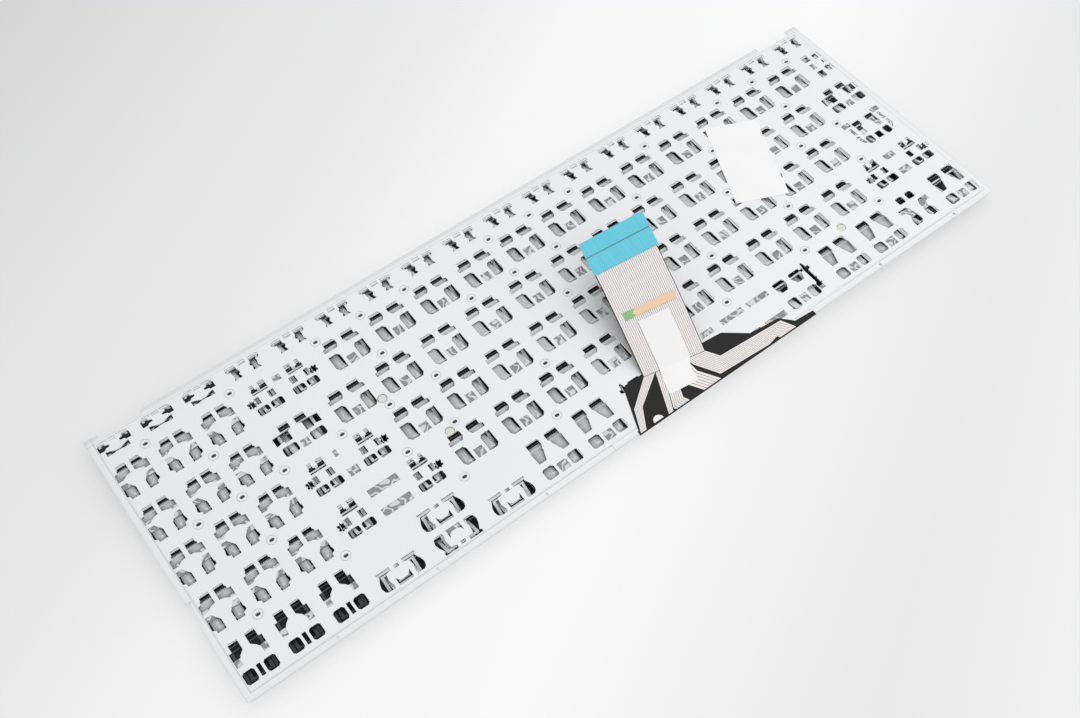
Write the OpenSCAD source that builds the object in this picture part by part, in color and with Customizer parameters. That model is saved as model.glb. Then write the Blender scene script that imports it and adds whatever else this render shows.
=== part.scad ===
/* [Keys] */
// Pitch of the letter keys along a row
key_pitch = 19.05; // [18.6:0.05:19.6]
// Pitch of the rows of letter keys
row_pitch = 18.77; // [18.4:0.01:19.6]
// Pitch of the keys in the function row
fn_pitch = 18.23; // [17.6:0.01:18.6]
// Pitch of the number pad's columns
pad_pitch = 15.97; // [15.6:0.01:16.6]
// Depth of a cell in the function row
fn_cell = 11.3; // [11:0.1:12.5]
// Depth of a cell in the bottom row
bottom_cell = 20.4; // [20:0.1:22]
// Space between two neighbouring keycaps
cap_gap = 3; // [2.6:0.1:3.4]
// Space between the two half-height arrow keys
split_gap = 1; // [0.8:0.1:1.4]
// Thickness of a keycap's top
cap_top = 0.9; // [0.7:0.05:0.9]
// Thickness of a keycap's skirt
cap_wall = 0.8; // [0.6:0.05:0.9]
// Bevel round a keycap's top face
cap_bevel = 0.35; // [0.2:0.05:0.5]
// Radius of a keycap's corners
cap_r = 1.3; // [0.8:0.1:1.8]
// How far a key travels towards the plate
travel = 1.2; // [1:0.05:1.3]

/* [Wide keys] */
// Cell width of the backspace key
backspace_w = 31.8; // [31:0.1:33]
// Cell width of the backslash key
backslash_w = 22.2; // [21.5:0.1:23]
// Cell width of the enter key
enter_w = 36.4; // [36:0.1:38]
// Cell width of the right shift key
shift_right_w = 45.8; // [45:0.1:47]
// Cell width of an arrow key
arrow_w = 21.6; // [21:0.1:22]
// Cell width of the space bar
space_w = 95; // [94:0.1:96]
// Cell width of the fn key
fn_key_w = 18.2; // [18:0.1:19]
// Width of the main block of keys
block_w = 274.6; // [274:0.1:276]
// From the middle of the backspace key to each of its two scissors
backspace_reach = 7; // [6.9:0.1:7.2]
// From the middle of the enter key to each of its two scissors
enter_reach = 9.2; // [8.6:0.1:9.6]
// From the middle of the right shift key to each of its two scissors
shift_right_reach = 13.6; // [12.8:0.1:14]
// From the middle of the left shift key to each of its two scissors
shift_left_reach = 9.6; // [9:0.1:10]
// From the middle of the space bar to each of its two scissors
space_reach = 33.5; // [32:0.1:34]

/* [Back plate] */
// Thickness of the steel sheet
plate_t = 0.4; // [0.3:0.05:0.5]
// Height of the plate's back face above the key tops
stack_h = 5.3; // [5.3:0.05:5.6]
// Plain metal left and right of the keys' cells
side_margin = 0.15; // [0.1:0.05:1.5]
// Plain metal below the bottom row's cells
front_margin = 1.5; // [1.5:0.1:3]
// How far the long tab stands out along the top edge
tab_out = 2.4; // [1.8:0.1:3]
// Width of the stepped rim
rim_w = 2.6; // [2:0.1:2.9]
// Depth of the step between the rim and the plate
rim_step = 0.2; // [0.1:0.05:0.3]
// Radius of the plate's corners
plate_r = 1.5; // [1:0.1:2]
// Length of a staking slot
slot_l = 1.8; // [1.6:0.1:2]
// Width of a staking slot
slot_w = 1.2; // [1.2:0.1:1.5]
// Diameter of the three sight holes
sight_d = 3.5; // [3:0.1:3.8]

/* [Membrane] */
// Thickness of each of the two films
film_t = 0.15; // [0.12:0.01:0.16]
// Width of the tail
tail_w = 24.4; // [20:0.1:26]
// Length of the tail from where it lifts off
tail_l = 53; // [40:0.5:60]
// Thickness of the tail
tail_t = 0.2; // [0.15:0.05:0.3]
// Angle at which the tail leaves the plate
tail_rise = 26; // [10:1:35]
// Angle at the tail's free end
tail_end_rise = 15; // [5:1:25]
// How far the tail has turned over sideways at its free end
tail_twist = 12; // [0:1:15]
// Turn of the tail away from the rows' direction
tail_lean = 11; // [0:1:15]
// Length of the blue stiffener
stiffener_l = 13; // [8:0.5:16]
// Thickness of the blue stiffener
stiffener_t = 0.25; // [0.15:0.05:0.3]
// Thickness of the paper labels and the guard strip
label_t = 0.12; // [0.1:0.01:0.15]
// Space for the glue between the tail and what is stuck on it
glue_t = 0.25; // [0.22:0.01:0.3]

/* [Scissors and domes] */
// Radius of the scissor frames' pins
pin_r = 0.35; // [0.3:0.01:0.38]
// Thickness of the scissor frames
frame_t = 0.85; // [0.8:0.01:0.87]
// Radius of the stubs that the two frames of a scissor turn on
stub_r = 0.2; // [0.18:0.01:0.22]
// Clearance round a pin in its hook
pin_gap = 0.15; // [0.12:0.01:0.2]
// Diameter of the stabiliser wires
wire_d = 0.8; // [0.6:0.05:0.8]
// Wall of the silicone domes
dome_wall = 0.35; // [0.3:0.05:0.5]

/* [Hidden] */
// Heights of the stack, from the key tops up
plate_z = stack_h - plate_t;
film_z = plate_z - 2 * film_t;
pin_z = film_z - 0.1 - pin_r;
cap_pin_z = cap_top + 0.2 + pin_r;
hook_z = cap_pin_z + 0.7;
hook_t = 0.3;
// A pressed keycap's skirt ends 0.15 below the plate's hooks
cap_h = pin_z - pin_r - pin_gap - hook_t - 0.15 - travel;
fold_drop = pin_z - cap_pin_z;
// Rows, from the edge of the space bar up to the function row
wrap_gap = 0.2;
depth = front_margin + bottom_cell + 4 * row_pitch + fn_cell - 1.2 + tab_out;
edge_y = (wrap_gap + plate_t / 2 + film_t - depth) / 2;
bottom_y0 = edge_y + front_margin;
bottom_y = bottom_y0 + bottom_cell / 2;
letter_y0 = bottom_y0 + bottom_cell;
fn_y0 = letter_y0 + 4 * row_pitch;
fn_y = fn_y0 + fn_cell / 2;
top_y = fn_y0 + fn_cell - 1.2;
function row_y(r) = letter_y0 + (4.5 - r) * row_pitch;
// The cells' left edges
cells_w = 3 * pad_pitch + block_w;
plate_w = cells_w + 2 * side_margin;
pad_x0 = -cells_w / 2 + 0.4;
block_x0 = pad_x0 + 3 * pad_pitch;
// Cap depths of the three kinds of row
letter_d = row_pitch - cap_gap;
fn_d = fn_cell - cap_gap;
bottom_d = bottom_cell - cap_gap;
split_d = (bottom_d - split_gap) / 2;
split_y = (split_d + split_gap) / 2;
// Space left beside anything that moves or is laid in
fit = 0.3;
small = 0.01;

// Scissor sizes: half width, inner frame's inner and outer edge, plate hooks at the upper
// and the lower pin, cap hooks for the inner and the outer frame, upper pin, lower pin
SIDE_HOOKS = [[-2.85, -2.45], [2.45, 2.85]];
PAD_HOOKS = [[-1.45, -1.05], [1.05, 1.45]];
LETTER = [6.9, 3.4, 5.6, [[-1.15, 1.15]], SIDE_HOOKS, 2.2, 4.4, 4.4, -5.0];
BOTTOM = [6.9, 3.4, 5.6, [[-1.15, 1.15]], SIDE_HOOKS, 2.2, 4.4, 5.0, -5.8];
PAD = [5.3, 2.9, 4.0, [[-0.75, 0.75]], PAD_HOOKS, 1.7, 3.2, 4.6, -5.2];
PAD_LOW = [5.3, 2.9, 4.0, [[-0.75, 0.75]], PAD_HOOKS, 1.7, 3.2, 5.2, -5.8];
HALF = [6.2, 3.2, 4.9, [[-1.9, -1.5], [1.5, 1.9]], [[-2.6, -2.2], [2.2, 2.6]], 2.3, 4.0, 2.6, -2.7];
PAD_HALF = [5.3, 2.9, 4.0, [[-1.9, -1.5], [1.5, 1.9]], PAD_HOOKS, 2.2, 3.2, 2.6, -2.7];
WIDE = [3.9, 1.6, 2.6, [[-0.55, 0.55]], [[-0.35, 0.35]], 0.85, 2.0, 4.3, -4.4];

function half_w(s) = s[0];
function arm_in(s) = s[1];
function arm_out(s) = s[2];
function top_pin(s) = s[7];
function low_pin(s) = s[8];
function fold_l(s) = norm([top_pin(s) - low_pin(s), fold_drop]);
function fold_angle(s) = atan2(fold_drop, top_pin(s) - low_pin(s));
function dome_r(s) = arm_in(s) == 2.9 || arm_in(s) == 3.2 ? 1.9 : 2.15;

// A key is [name, x, y, cap width, cap depth, windows, [[scissor, x, turn], ...], wire reach]
function key(name, x, y, w, d, windows, scissors, wire = 0) =
    [name, x, y, w, d, windows, scissors, wire];
function plain(name, x, y, w, d, windows, s, turn = 0) =
    key(name, x, y, w, d, windows, [[s, 0, turn]]);
function twin(name, x, y, w, d, windows, s, reach, wire) =
    key(name, x, y, w, d, windows, [[s, -reach, 0], [s, reach, 0]], wire);

function cell_x(x0, n, pitch) = x0 + (n + 0.5) * pitch;
function run(names, x0, pitch, y, d, windows, s) =
    [for (n = [0:len(names) - 1])
        plain(names[n], cell_x(x0, n, pitch), y, pitch - cap_gap, d, windows, s)];

tab_w = block_w - backslash_w - 12 * key_pitch;
backquote_w = block_w - backspace_w - 12 * key_pitch;
caps_w = block_w - enter_w - 11 * key_pitch;
shift_left_w = block_w - shift_right_w - 10 * key_pitch;
ctrl_left_w = block_w - 3 * arrow_w - space_w - fn_key_w - 4 * key_pitch;
block_x1 = block_x0 + block_w;

digit_x0 = block_x0 + backspace_w;
q_x0 = block_x0 + backslash_w;
a_x0 = block_x0 + enter_w;
z_x0 = block_x0 + shift_right_w;
alt_x0 = block_x0 + 3 * arrow_w;
space_x0 = alt_x0 + 2 * key_pitch;
space_x1 = space_x0 + space_w;
fn_x0 = space_x1 + 2 * key_pitch;

digit_row = concat(
    [twin("backspace", block_x0 + backspace_w / 2, row_y(1), backspace_w - cap_gap, letter_d,
        "twin", WIDE, backspace_reach, backspace_reach + 5.1)],
    run(["equals", "minus", "0", "9", "8", "7", "6", "5", "4", "3", "2", "1"],
        digit_x0, key_pitch, row_y(1), letter_d, "letter", LETTER),
    [key("backquote", block_x1 - backquote_w / 2, row_y(1), backquote_w - cap_gap, letter_d,
        "backquote", [[HALF, 0, 90]])]);
q_row = concat(
    [plain("backslash", block_x0 + backslash_w / 2, row_y(2), backslash_w - cap_gap, letter_d,
        "tab", LETTER)],
    run(["bracket_right", "bracket_left", "p", "o", "i", "u", "y", "t", "r", "e", "w", "q"],
        q_x0, key_pitch, row_y(2), letter_d, "letter", LETTER),
    [plain("tab", block_x1 - tab_w / 2, row_y(2), tab_w - cap_gap, letter_d, "tab", LETTER)]);
a_row = concat(
    [twin("enter", block_x0 + enter_w / 2, row_y(3), enter_w - cap_gap, letter_d,
        "twin", WIDE, enter_reach, enter_reach + 5.1)],
    run(["quote", "semicolon", "l", "k", "j", "h", "g", "f", "d", "s", "a"],
        a_x0, key_pitch, row_y(3), letter_d, "letter", LETTER),
    [plain("caps_lock", block_x1 - caps_w / 2, row_y(3), caps_w - cap_gap, letter_d, "caps", PAD)]);
z_row = concat(
    [twin("shift_right", block_x0 + shift_right_w / 2, row_y(4), shift_right_w - cap_gap, letter_d,
        "twin", WIDE, shift_right_reach, shift_right_reach + 5.1)],
    run(["slash", "period", "comma", "m", "n", "b", "v", "c", "x", "z"],
        z_x0, key_pitch, row_y(4), letter_d, "letter", LETTER),
    [twin("shift_left", block_x1 - shift_left_w / 2, row_y(4), shift_left_w - cap_gap, letter_d,
        "twin", WIDE, shift_left_reach, shift_left_reach + 5.1)]);
bottom_row = concat(
    [plain("arrow_right", cell_x(block_x0, 0, arrow_w), bottom_y - split_y, arrow_w - cap_gap,
        split_d, "arrow", HALF),
     plain("arrow_up", cell_x(block_x0, 1, arrow_w), bottom_y + split_y, arrow_w - cap_gap,
        split_d, "arrow", HALF),
     plain("arrow_down", cell_x(block_x0, 1, arrow_w), bottom_y - split_y, arrow_w - cap_gap,
        split_d, "arrow_down", HALF, 180),
     plain("arrow_left", cell_x(block_x0, 2, arrow_w), bottom_y - split_y, arrow_w - cap_gap,
        split_d, "arrow", HALF)],
    run(["ctrl_right", "alt_right"], alt_x0, key_pitch, bottom_y, bottom_d, "bottom", BOTTOM),
    [twin("space", space_x0 + space_w / 2, bottom_y, space_w - cap_gap, bottom_d,
        "space", BOTTOM, space_reach, space_reach + 8.5)],
    run(["alt_left", "menu"], space_x1, key_pitch, bottom_y, bottom_d, "bottom", BOTTOM),
    [plain("fn", fn_x0 + fn_key_w / 2, bottom_y, fn_key_w - cap_gap, bottom_d, "fn", PAD),
     plain("ctrl_left", block_x1 - ctrl_left_w / 2, bottom_y, ctrl_left_w - cap_gap, bottom_d,
        "bottom", BOTTOM)]);
fn_row = run([for (n = [15:-1:1]) str("top_", n)], block_x0 + 0.2, fn_pitch, fn_y, fn_d,
    "top", HALF);
pad_keys = concat(
    run(["pad_top_3", "pad_top_2", "pad_top_1"], pad_x0, pad_pitch, fn_y, fn_d, "pad_top",
        PAD_HALF),
    [for (r = [1:4]) each run([for (c = [3:-1:1]) str("pad_", r, c)], pad_x0, pad_pitch,
        row_y(r), letter_d, "pad", PAD)]);
pad_low_keys = run(["pad_53", "pad_52", "pad_51"], pad_x0, pad_pitch, bottom_y, bottom_d,
    "pad_low", PAD_LOW);
KEYS = concat(digit_row, q_row, a_row, z_row, bottom_row, fn_row, pad_keys, pad_low_keys);

// Keys with a node of their own, and those whose scissor frames have one too
MOVING = ["q", "w", "e", "r", "t", "y", "u", "i", "o", "p", "a", "s", "d", "f", "g", "h", "j",
    "k", "l", "z", "x", "c", "v", "b", "n", "m", "space", "enter", "backspace", "tab",
    "caps_lock", "shift_left", "shift_right", "ctrl_left", "arrow_up", "arrow_down",
    "arrow_left", "arrow_right"];
FOLDING = ["g", "h"];
WIRED = ["space", "enter", "backspace", "shift_left", "shift_right"];

function among(name, list) = len([for (n = list) if (n == name) n]) > 0;
function find_key(name) = [for (k = KEYS) if (k[0] == name) k][0];
function is_dark(k) = k[5] == "pad_low";

// Flat outlines, in a key's own place, x to the right and y towards the function row
function flip(p) = [for (i = [len(p) - 1:-1:0]) [-p[i][0], p[i][1]]];
function upside(p) = [for (i = [len(p) - 1:-1:0]) [p[i][0], -p[i][1]]];
function pair(p) = [p, flip(p)];
function shift(p, x) = [for (q = p) [q[0] + x, q[1]]];
function box(x0, y0, x1, y1) = [[x0, y0], [x1, y0], [x1, y1], [x0, y1]];
function cut_box(x0, y0, x1, y1, c) = [[x0 + c, y0], [x1 - c, y0], [x1, y0 + c], [x1, y1 - c],
    [x1 - c, y1], [x0 + c, y1], [x0, y1 - c], [x0, y0 + c]];

// The punched windows of each kind of key
function letter_top(t) = [[1.9, t + 2.4], [1.2, t + 1.4], [1.2, t - 0.5],
    [2.1, t - 1.8], [7, t - 1.8], [7, t - 0.2], [5.9, t + 0.2], [5.9, t + 2.4]];
function letter_low(b) = [[2.9, b - 1.2], [6, b - 1.2], [7, b], [7, b + 5.6],
    [3.8, b + 5.6], [2.9, b + 4.5]];
function bottom_top(t) = [[1.6, t + 2.7], [1.2, t + 2], [1.2, t], [1.9, t - 1.2], [1.9, t - 1.8],
    [3.4, t - 5.7], [6.3, t - 5.7], [6.5, t - 0.6], [6.2, t], [6.2, t + 2.7]];
function pad_top(t) = [[0.8, t + 2.3], [0.8, t - 2.3], [2.4, t - 2.6], [4, t - 3.7],
    [5.8, t - 3.7], [5.8, t - 0.5], [4.6, t - 0.2], [4.6, t + 0.6], [4.2, t + 1], [4.2, t + 2.3]];
function pad_low_part(b) = [[1.8, b - 1.7], [4.8, b - 1.7], [4.9, b - 0.6], [6.1, b], [6.1, b + 1],
    [5.8, b + 1.8], [5.8, b + 4.8], [3.8, b + 4.8], [1.8, b + 2]];
TOP_LEG = [[2.6, 3.1], [2.6, 0.9], [2, 0.2], [2, -0.6], [2.7, -1.3], [2.1, -2.9], [5.3, -3.1],
    [4.6, -1.6], [4.9, 0], [4.9, 0.9], [5.9, 0.8], [6.5, 1.6], [6.5, 2.9], [5.9, 3.1]];
ARROW_LEG = [[2.3, 4], [2.3, 2.7], [4.2, 2.4], [4.6, 0], [4, -2.2], [4.2, -3.3], [6.6, -3.3],
    [7.6, -2.6], [8, -1], [7.6, 0.6], [6.6, 2.6], [7.2, 3.2], [7.2, 4]];
ARROW_FOOT = [[-2.6, -3.4], [2.6, -3.4], [2.6, -0.2], [2.1, -1.2], [1.2, -1.9], [-1.2, -1.9],
    [-2.1, -1.2], [-2.6, -0.2]];
PAD_TOP_SIDE = [[1.7, 3.3], [1.7, 2.4], [3.2, 2.1], [3.2, 1.4], [1.9, 1], [1.9, 0.2], [3.4, 0],
    [3.9, -0.6], [5.8, -0.6], [5.8, 1.8], [5.2, 2.8], [4.3, 3.3]];
PAD_TOP_WING = [[-4.2, -3.2], [-2, -3.2], [-0.9, -2.9], [0.9, -2.9], [2, -3.2], [4.2, -3.2],
    [4.2, -1.2], [2.9, -1.5], [0.9, -2.4], [-0.9, -2.4], [-2.9, -1.5], [-4.2, -1.2]];
// A star-shaped slot that a stabiliser wire's leg shows through
SPIDER = [[-1.4, -1], [-1, -1.6], [-0.4, -1], [0.3, -1.7], [0.5, -1], [1.4, -1], [1.4, -0.2],
    [1, 0.1], [1.4, 0.5], [1.4, 1.4], [0.4, 1.2], [0, 2], [-0.4, 1.2], [-1.4, 1.3], [-1, 0.4],
    [-1.6, 0.1]];
SPACE_SLOT = [[-1.2, -5.6], [0.8, -5.6], [0.8, -3.4], [1.3, -3], [0.8, -2.6], [0.8, -0.8],
    [1.3, -0.4], [0.8, 0], [0.8, 3.6], [2, 4], [2, 5.4], [1, 5.2], [0.6, 7.4], [-0.2, 7.4],
    [-0.6, 5.6], [-2.2, 5.4], [-2.2, 4.4], [-0.8, 4], [-0.8, -2], [-1.6, -3]];

// Half of a twin-scissor key: the part round one scissor, and the slot of the wire's leg
function twin_half(reach, leg) = concat(
    [for (p = [box(-3, 3, 3, 5.1), box(-3, 5.1 - small, -0.6, 7.2), box(1.2, 5.1 - small, 2.6, 7.2),
        box(-3.9, -1, -1.6, 2), box(1.8, -1, 3.6, 2), cut_box(-4.9, -5.6, -0.4, -2.3, 0.5),
        cut_box(0.5, -5.6, 4.8, -2.3, 0.5)]) shift(p, reach)],
    [shift(SPIDER, leg)]);
function middle_windows(k) =
    k[0] == "shift_right" ? [box(-5.6, 3, 5.6, 6.1), box(-5.6, -5.4, 5.6, -2.2)] :
    k[0] == "shift_left" ? [box(-2.5, 3.4, 2.5, 6.1), box(-2.5, -5.2, 2.5, -2.2)] :
    k[0] == "enter" ? [box(-2.2, 3.9, -0.8, 6.5), box(-2, -5.4, 2, -2.2)] :
    [box(-1.5, 3.3, 1.5, 5.9)];

function windows(k) = let (w = k[5], t = top_pin(k[6][0][0]), b = low_pin(k[6][0][0]))
    w == "letter" ? concat(pair(letter_top(t)), pair(letter_low(b)),
        [box(-1.7, b - 1.2, 1.7, b + 2.5)]) :
    w == "bottom" ? concat(pair(bottom_top(t)), pair(cut_box(2.9, b - 1.6, 7.4, b + 2.9, 0.7)),
        [cut_box(-1.9, b - 1.6, 1.9, b + 2.1, 0.3)]) :
    w == "pad" ? concat(pair(pad_top(t)), pair(pad_low_part(b))) :
    w == "pad_low" ? concat(
        pair([[1.3, 7.8], [1.3, 3.9], [2.8, 2.6], [3.6, 1.2], [3.6, -0.6], [5.7, -0.6], [5.7, 4.8],
            [4.6, 4.8], [4.6, 7.8]]), pair(cut_box(1.6, -7.3, 5.7, -2.7, 0.7)),
        [box(-0.7, -7, 0.7, -2.7)]) :
    w == "pad_top" ? concat(pair(PAD_TOP_SIDE), [box(-1.3, 2, 1.3, 3.3), PAD_TOP_WING]) :
    w == "top" ? concat(pair(TOP_LEG), [box(-1.4, 1.7, 1.4, 3.3)]) :
    w == "arrow" ? concat(pair(ARROW_LEG), [ARROW_FOOT, box(-0.9, 2.4, 0.9, 3.6)]) :
    w == "arrow_down" ? concat(pair(upside(ARROW_LEG)),
        [upside(ARROW_FOOT), box(-0.9, -3.6, 0.9, -2.4)]) :
    w == "tab" ? concat(
        pair([[1.2, 6.7], [1.2, 3.9], [2.7, 3.2], [2.7, -0.4], [5.7, -0.4], [5.7, 0.4], [8.7, -0.2],
            [8.7, 3.4], [5.1, 3.7], [5.1, 6.7]]),
        pair(cut_box(2.6, b - 0.4, 8, b + 3.4, 0.6)), [box(-1.5, b - 0.5, 1.5, b + 2.6)]) :
    w == "caps" ? concat(
        pair([[1.5, 6.3], [1.5, 4], [2.7, 3.3], [2.7, -0.7], [5.3, -0.7], [5.3, 6.3]]),
        pair(cut_box(2.9, -5.8, 6.1, -1.9, 0.7)), [box(-1.4, -5.7, 1.4, -2.4)],
        pair(box(5.9, 5.5, 9.6, 7.7)), pair(box(6.9, 0.8, 8.3, 4.6)),
        pair([[6.4, -4.4], [7.4, -4.4], [8.6, -2.6], [8.6, 0], [7.2, 0], [7.2, -1.7]])) :
    w == "backquote" ? [box(-3.9, 3.4, -1, 6.8), box(-3.9, -6.5, -1, -2.9),
        box(-3.8, -1.4, -1.8, 1.8), box(0.8, 2.7, 4.1, 5.5), box(0.8, -5.2, 4.1, -2.1),
        box(2.2, -0.7, 3.7, 1.3)] :
    w == "fn" ? concat(pair(cut_box(0.8, 4.2, 4, 7.6, 0.6)),
        pair([[2.4, 1.2], [3.4, 2.6], [7.2, 2.6], [7.2, 0.6], [5.2, 0.2], [4.4, -1.6],
            [5.6, -3.4], [5.9, -6.2], [3, -6.2], [1.6, -4.8], [1.8, -2]])) :
    w == "twin" ? concat(twin_half(k[6][1][1], k[7]),
        [for (p = twin_half(k[6][1][1], k[7])) flip(p)], middle_windows(k)) :
    space_windows(k, t, b);

// The space bar: a cluster near each end, thin slots between, and a slot for each wire leg
function space_end(k, t, b) = concat(
    [for (p = concat(pair([[1.8, t + 1.4], [1.2, t + 0.6], [1.2, t - 1], [2.4, t - 3.4],
        [5.4, t - 3.4], [6.4, t - 1], [6.4, t + 1], [5.8, t + 1.4]]),
        pair(cut_box(2.7, b - 0.8, 6.8, b + 3.8, 0.6)), [box(-1.5, b - 0.6, 1.5, b + 3)]))
        shift(p, k[6][1][1])],
    [shift(SPACE_SLOT, k[7])]);
function space_windows(k, t, b) = let (end = space_end(k, t, b)) concat(end,
    [for (p = end) flip(p)],
    [for (x = [-7.6, 2.2, 14.4]) box(x, 4, x + (x > 10 ? 9.6 : x > 0 ? 10 : 5.7), 6.3)],
    [box(7.8, -6.3, 12, -4.1), box(14.4, -6.3, 23.6, -3.9)]);

// Where the films are cut away round a scissor s whose windows reach w sideways: the dome
// keeps a tongue of film, with cut corners where the upper hooks pass close beside it
function film_holes(s, w, up) = let (x = w + fit, t = top_pin(s), b = low_pin(s),
    half = t - b < 6, tongue = dome_r(s) + 0.15, y0 = b - 1.65, y1 = t + (half ? 1.3 : 2.9))
    up ? [[[-x, y1], [-1.2, y1], [-1.2, 1.47], [-tongue, 0.62], [-tongue, -tongue],
        [tongue, -tongue], [tongue, 0.62], [1.2, 1.47], [1.2, y1], [x, y1], [x, y0], [-x, y0]]] :
    s == WIDE ? [box(-5.2, -5.9, 5.2, -2), box(-x, -1.3, x, 7.7)] :
    s == PAD_HALF ? [box(-x, y0, x, -tongue), [[-x, 1.3], [-1.37, 1.3], [-0.62, tongue],
        [0.62, tongue], [1.37, 1.3], [x, 1.3], [x, y1], [-x, y1]]] :
    s[4] == PAD_HOOKS ? [box(-x, y0, x, -tongue), box(-x, tongue, x, y1)] :
    [concat([[-x, y0], [-tongue, y0]],
        half ? [[-tongue, 0.62], [-0.62, tongue], [0.62, tongue], [tongue, 0.62]] :
        [[-tongue, tongue], [tongue, tongue]], [[tongue, y0], [x, y0], [x, y1], [-x, y1]])];
function near_edge(k) = k[5] == "arrow" || k[5] == "backquote";
function window_w(k) = k[5] == "pad" || k[5] == "pad_low" || k[5] == "pad_top" ? 6.1 :
    k[5] == "tab" ? 8.7 : k[5] == "arrow" || k[5] == "arrow_down" ? 8 :
    k[5] == "caps" ? 6.2 : k[5] == "fn" ? 7.2 : k[5] == "twin" ? 3.9 : k[5] == "top" ? 6.5 : 7.3;

// Staking slots lie where four keys meet: [row edge, [cell edge numbers in the row above]]
function seam_y(r) = letter_y0 + (4 - r) * row_pitch + (r == 0 ? -0.5 : 0.5);
STAKES = concat(
    [for (n = [0, 1, 2, 4, 5, 6, 8, 10, 11, 12])
        [(digit_x0 + n * key_pitch + block_x0 + 0.2 + (n + 2) * fn_pitch) / 2, seam_y(0)]],
    [for (n = [1, 3, 4, 5, 7, 9, 11]) [digit_x0 + n * key_pitch - 0.4, seam_y(1)]],
    [for (n = [0, 1, 2, 5, 9, 11, 12]) [q_x0 + n * key_pitch, seam_y(2)]],
    [for (n = [0, 1, 3, 7, 9, 11]) [a_x0 + n * key_pitch - 0.4, seam_y(3)]],
    [for (n = [0, 2, 6, 8, 10]) [z_x0 + n * key_pitch, seam_y(4)]],
    [for (r = [0, 2, 4]) each [[pad_x0 + pad_pitch, seam_y(r)],
        [block_x0, seam_y(r)]]],
    [for (r = [1, 2, 3]) [pad_x0 + 2 * pad_pitch, seam_y(r)]]);
// The slots that studs of the laptop's case fit in
PAD_STUDS = [for (r = [0, 4], x = [pad_x0 + pad_pitch, block_x0]) [x, seam_y(r)]];
ROW_STUDS = [for (n = [0, 12]) [q_x0 + n * key_pitch, seam_y(2)]];
SIGHTS = [[digit_x0 + 0.5 * key_pitch - 0.8, row_y(1) - 1.29 * row_pitch],
    [a_x0 + 0.8 * key_pitch, seam_y(3) - 2], [z_x0 + 9 * key_pitch - 1, seam_y(4) - 0.5]];

// A round-ended slot along x
module slot_2d(length, width) {
    square([length - width, width], center = true);
    for (side = [-1, 1]) translate([side * (length - width) / 2, 0]) circle(d = width, $fn = 24);
}

// A rectangle with round corners
module round_2d(w, d, r) {
    square([w - 2 * r, d], center = true);
    square([w, d - 2 * r], center = true);
    for (x = [-1, 1], y = [-1, 1])
        translate([x * (w / 2 - r), y * (d / 2 - r)]) circle(r, $fn = 24);
}

// A hook bent down from the plate round a pin that lies along x: its leg is on the side
// that faces away from open, and the pin may slide towards the leg
module plate_hook(x0, x1, y, open, slide) {
    reach = pin_r + pin_gap + slide;
    low = pin_z - pin_r - pin_gap;
    hook_top = plate_z - small;
    translate([x1, y, 0]) rotate([90, 0, -90]) linear_extrude(x1 - x0)
        polygon([for (p = [[reach + 0.5, hook_top], [reach, hook_top], [reach, low],
            [-pin_r, low], [-pin_r, low - hook_t], [reach + 0.5, low - hook_t]])
            [open * p[0], p[1]]]);
}

// Every hook as [key and scissor turned into place, x0, x1, y, open, slide]
function clip_y(k) = k[0] == "space" ? 6.9 : 6.4;
function clip_x(k) = k[0] == "space" ? k[7] - 3.2 : k[6][1][1] - 1.1;
HOOKS = [for (k = KEYS, s = k[6]) each concat(
    [for (h = s[0][3]) [k, s, h[0], h[1], top_pin(s[0]), s[0] == WIDE ? -1 : 1, 0]],
    [for (h = s[0][4]) [k, s, h[0], h[1], low_pin(s[0]), 1, 0.35]])];
CLIPS = [for (k = KEYS) if (k[7] > 0) for (side = [-1, 1])
    [k, [0, 0, 0], side * clip_x(k) - 0.2, side * clip_x(k) + 0.2, clip_y(k), -1, 0]];

edge_notches = [[-160.4, 0.9], [-129.2, 0.8], [-92.4, 0.8], [-49.4, 0.8], [67.3, 0.8],
    [102.7, 0.8], [141.4, 0.8]];

// The plate's outline with its long tab, corner posts and the notch in its left edge
module plate_outline() {
    post_w = 5.2;
    tab_x0 = pad_x0 + 20.5;
    tab_x1 = block_x1 - 21.5;
    half = plate_w / 2;
    difference() {
        union() {
            translate([0, (top_y + edge_y) / 2]) round_2d(plate_w, top_y - edge_y, plate_r);
            translate([tab_x0, top_y - 3]) square([tab_x1 - tab_x0, 3 + tab_out]);
            for (side = [-1, 1])
                translate([side * (half - post_w / 2) - post_w / 2, top_y - 3])
                    square([post_w, 3 + tab_out]);
        }
        translate([-half - 1, row_y(3) - 20.6]) square([2.4, 8.4]);
        translate([-half - 1, row_y(3) - 12.4]) square([3, 1]);
    }
}

// The part of the plate inside the stepped rim, which runs out to the edge under the flap
module plate_field() {
    half = plate_w / 2 - rim_w;
    translate([-half, edge_y + rim_w]) square([2 * half, top_y - edge_y - rim_w - 0.4]);
    translate([wrap_x0 - 10, edge_y]) square([wrap_x1 - wrap_x0 + 26, rim_w + small]);
}

WINDOWS = [for (k = KEYS, p = windows(k)) [for (q = p) [q[0] + k[1], q[1] + k[2]]]];

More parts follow.
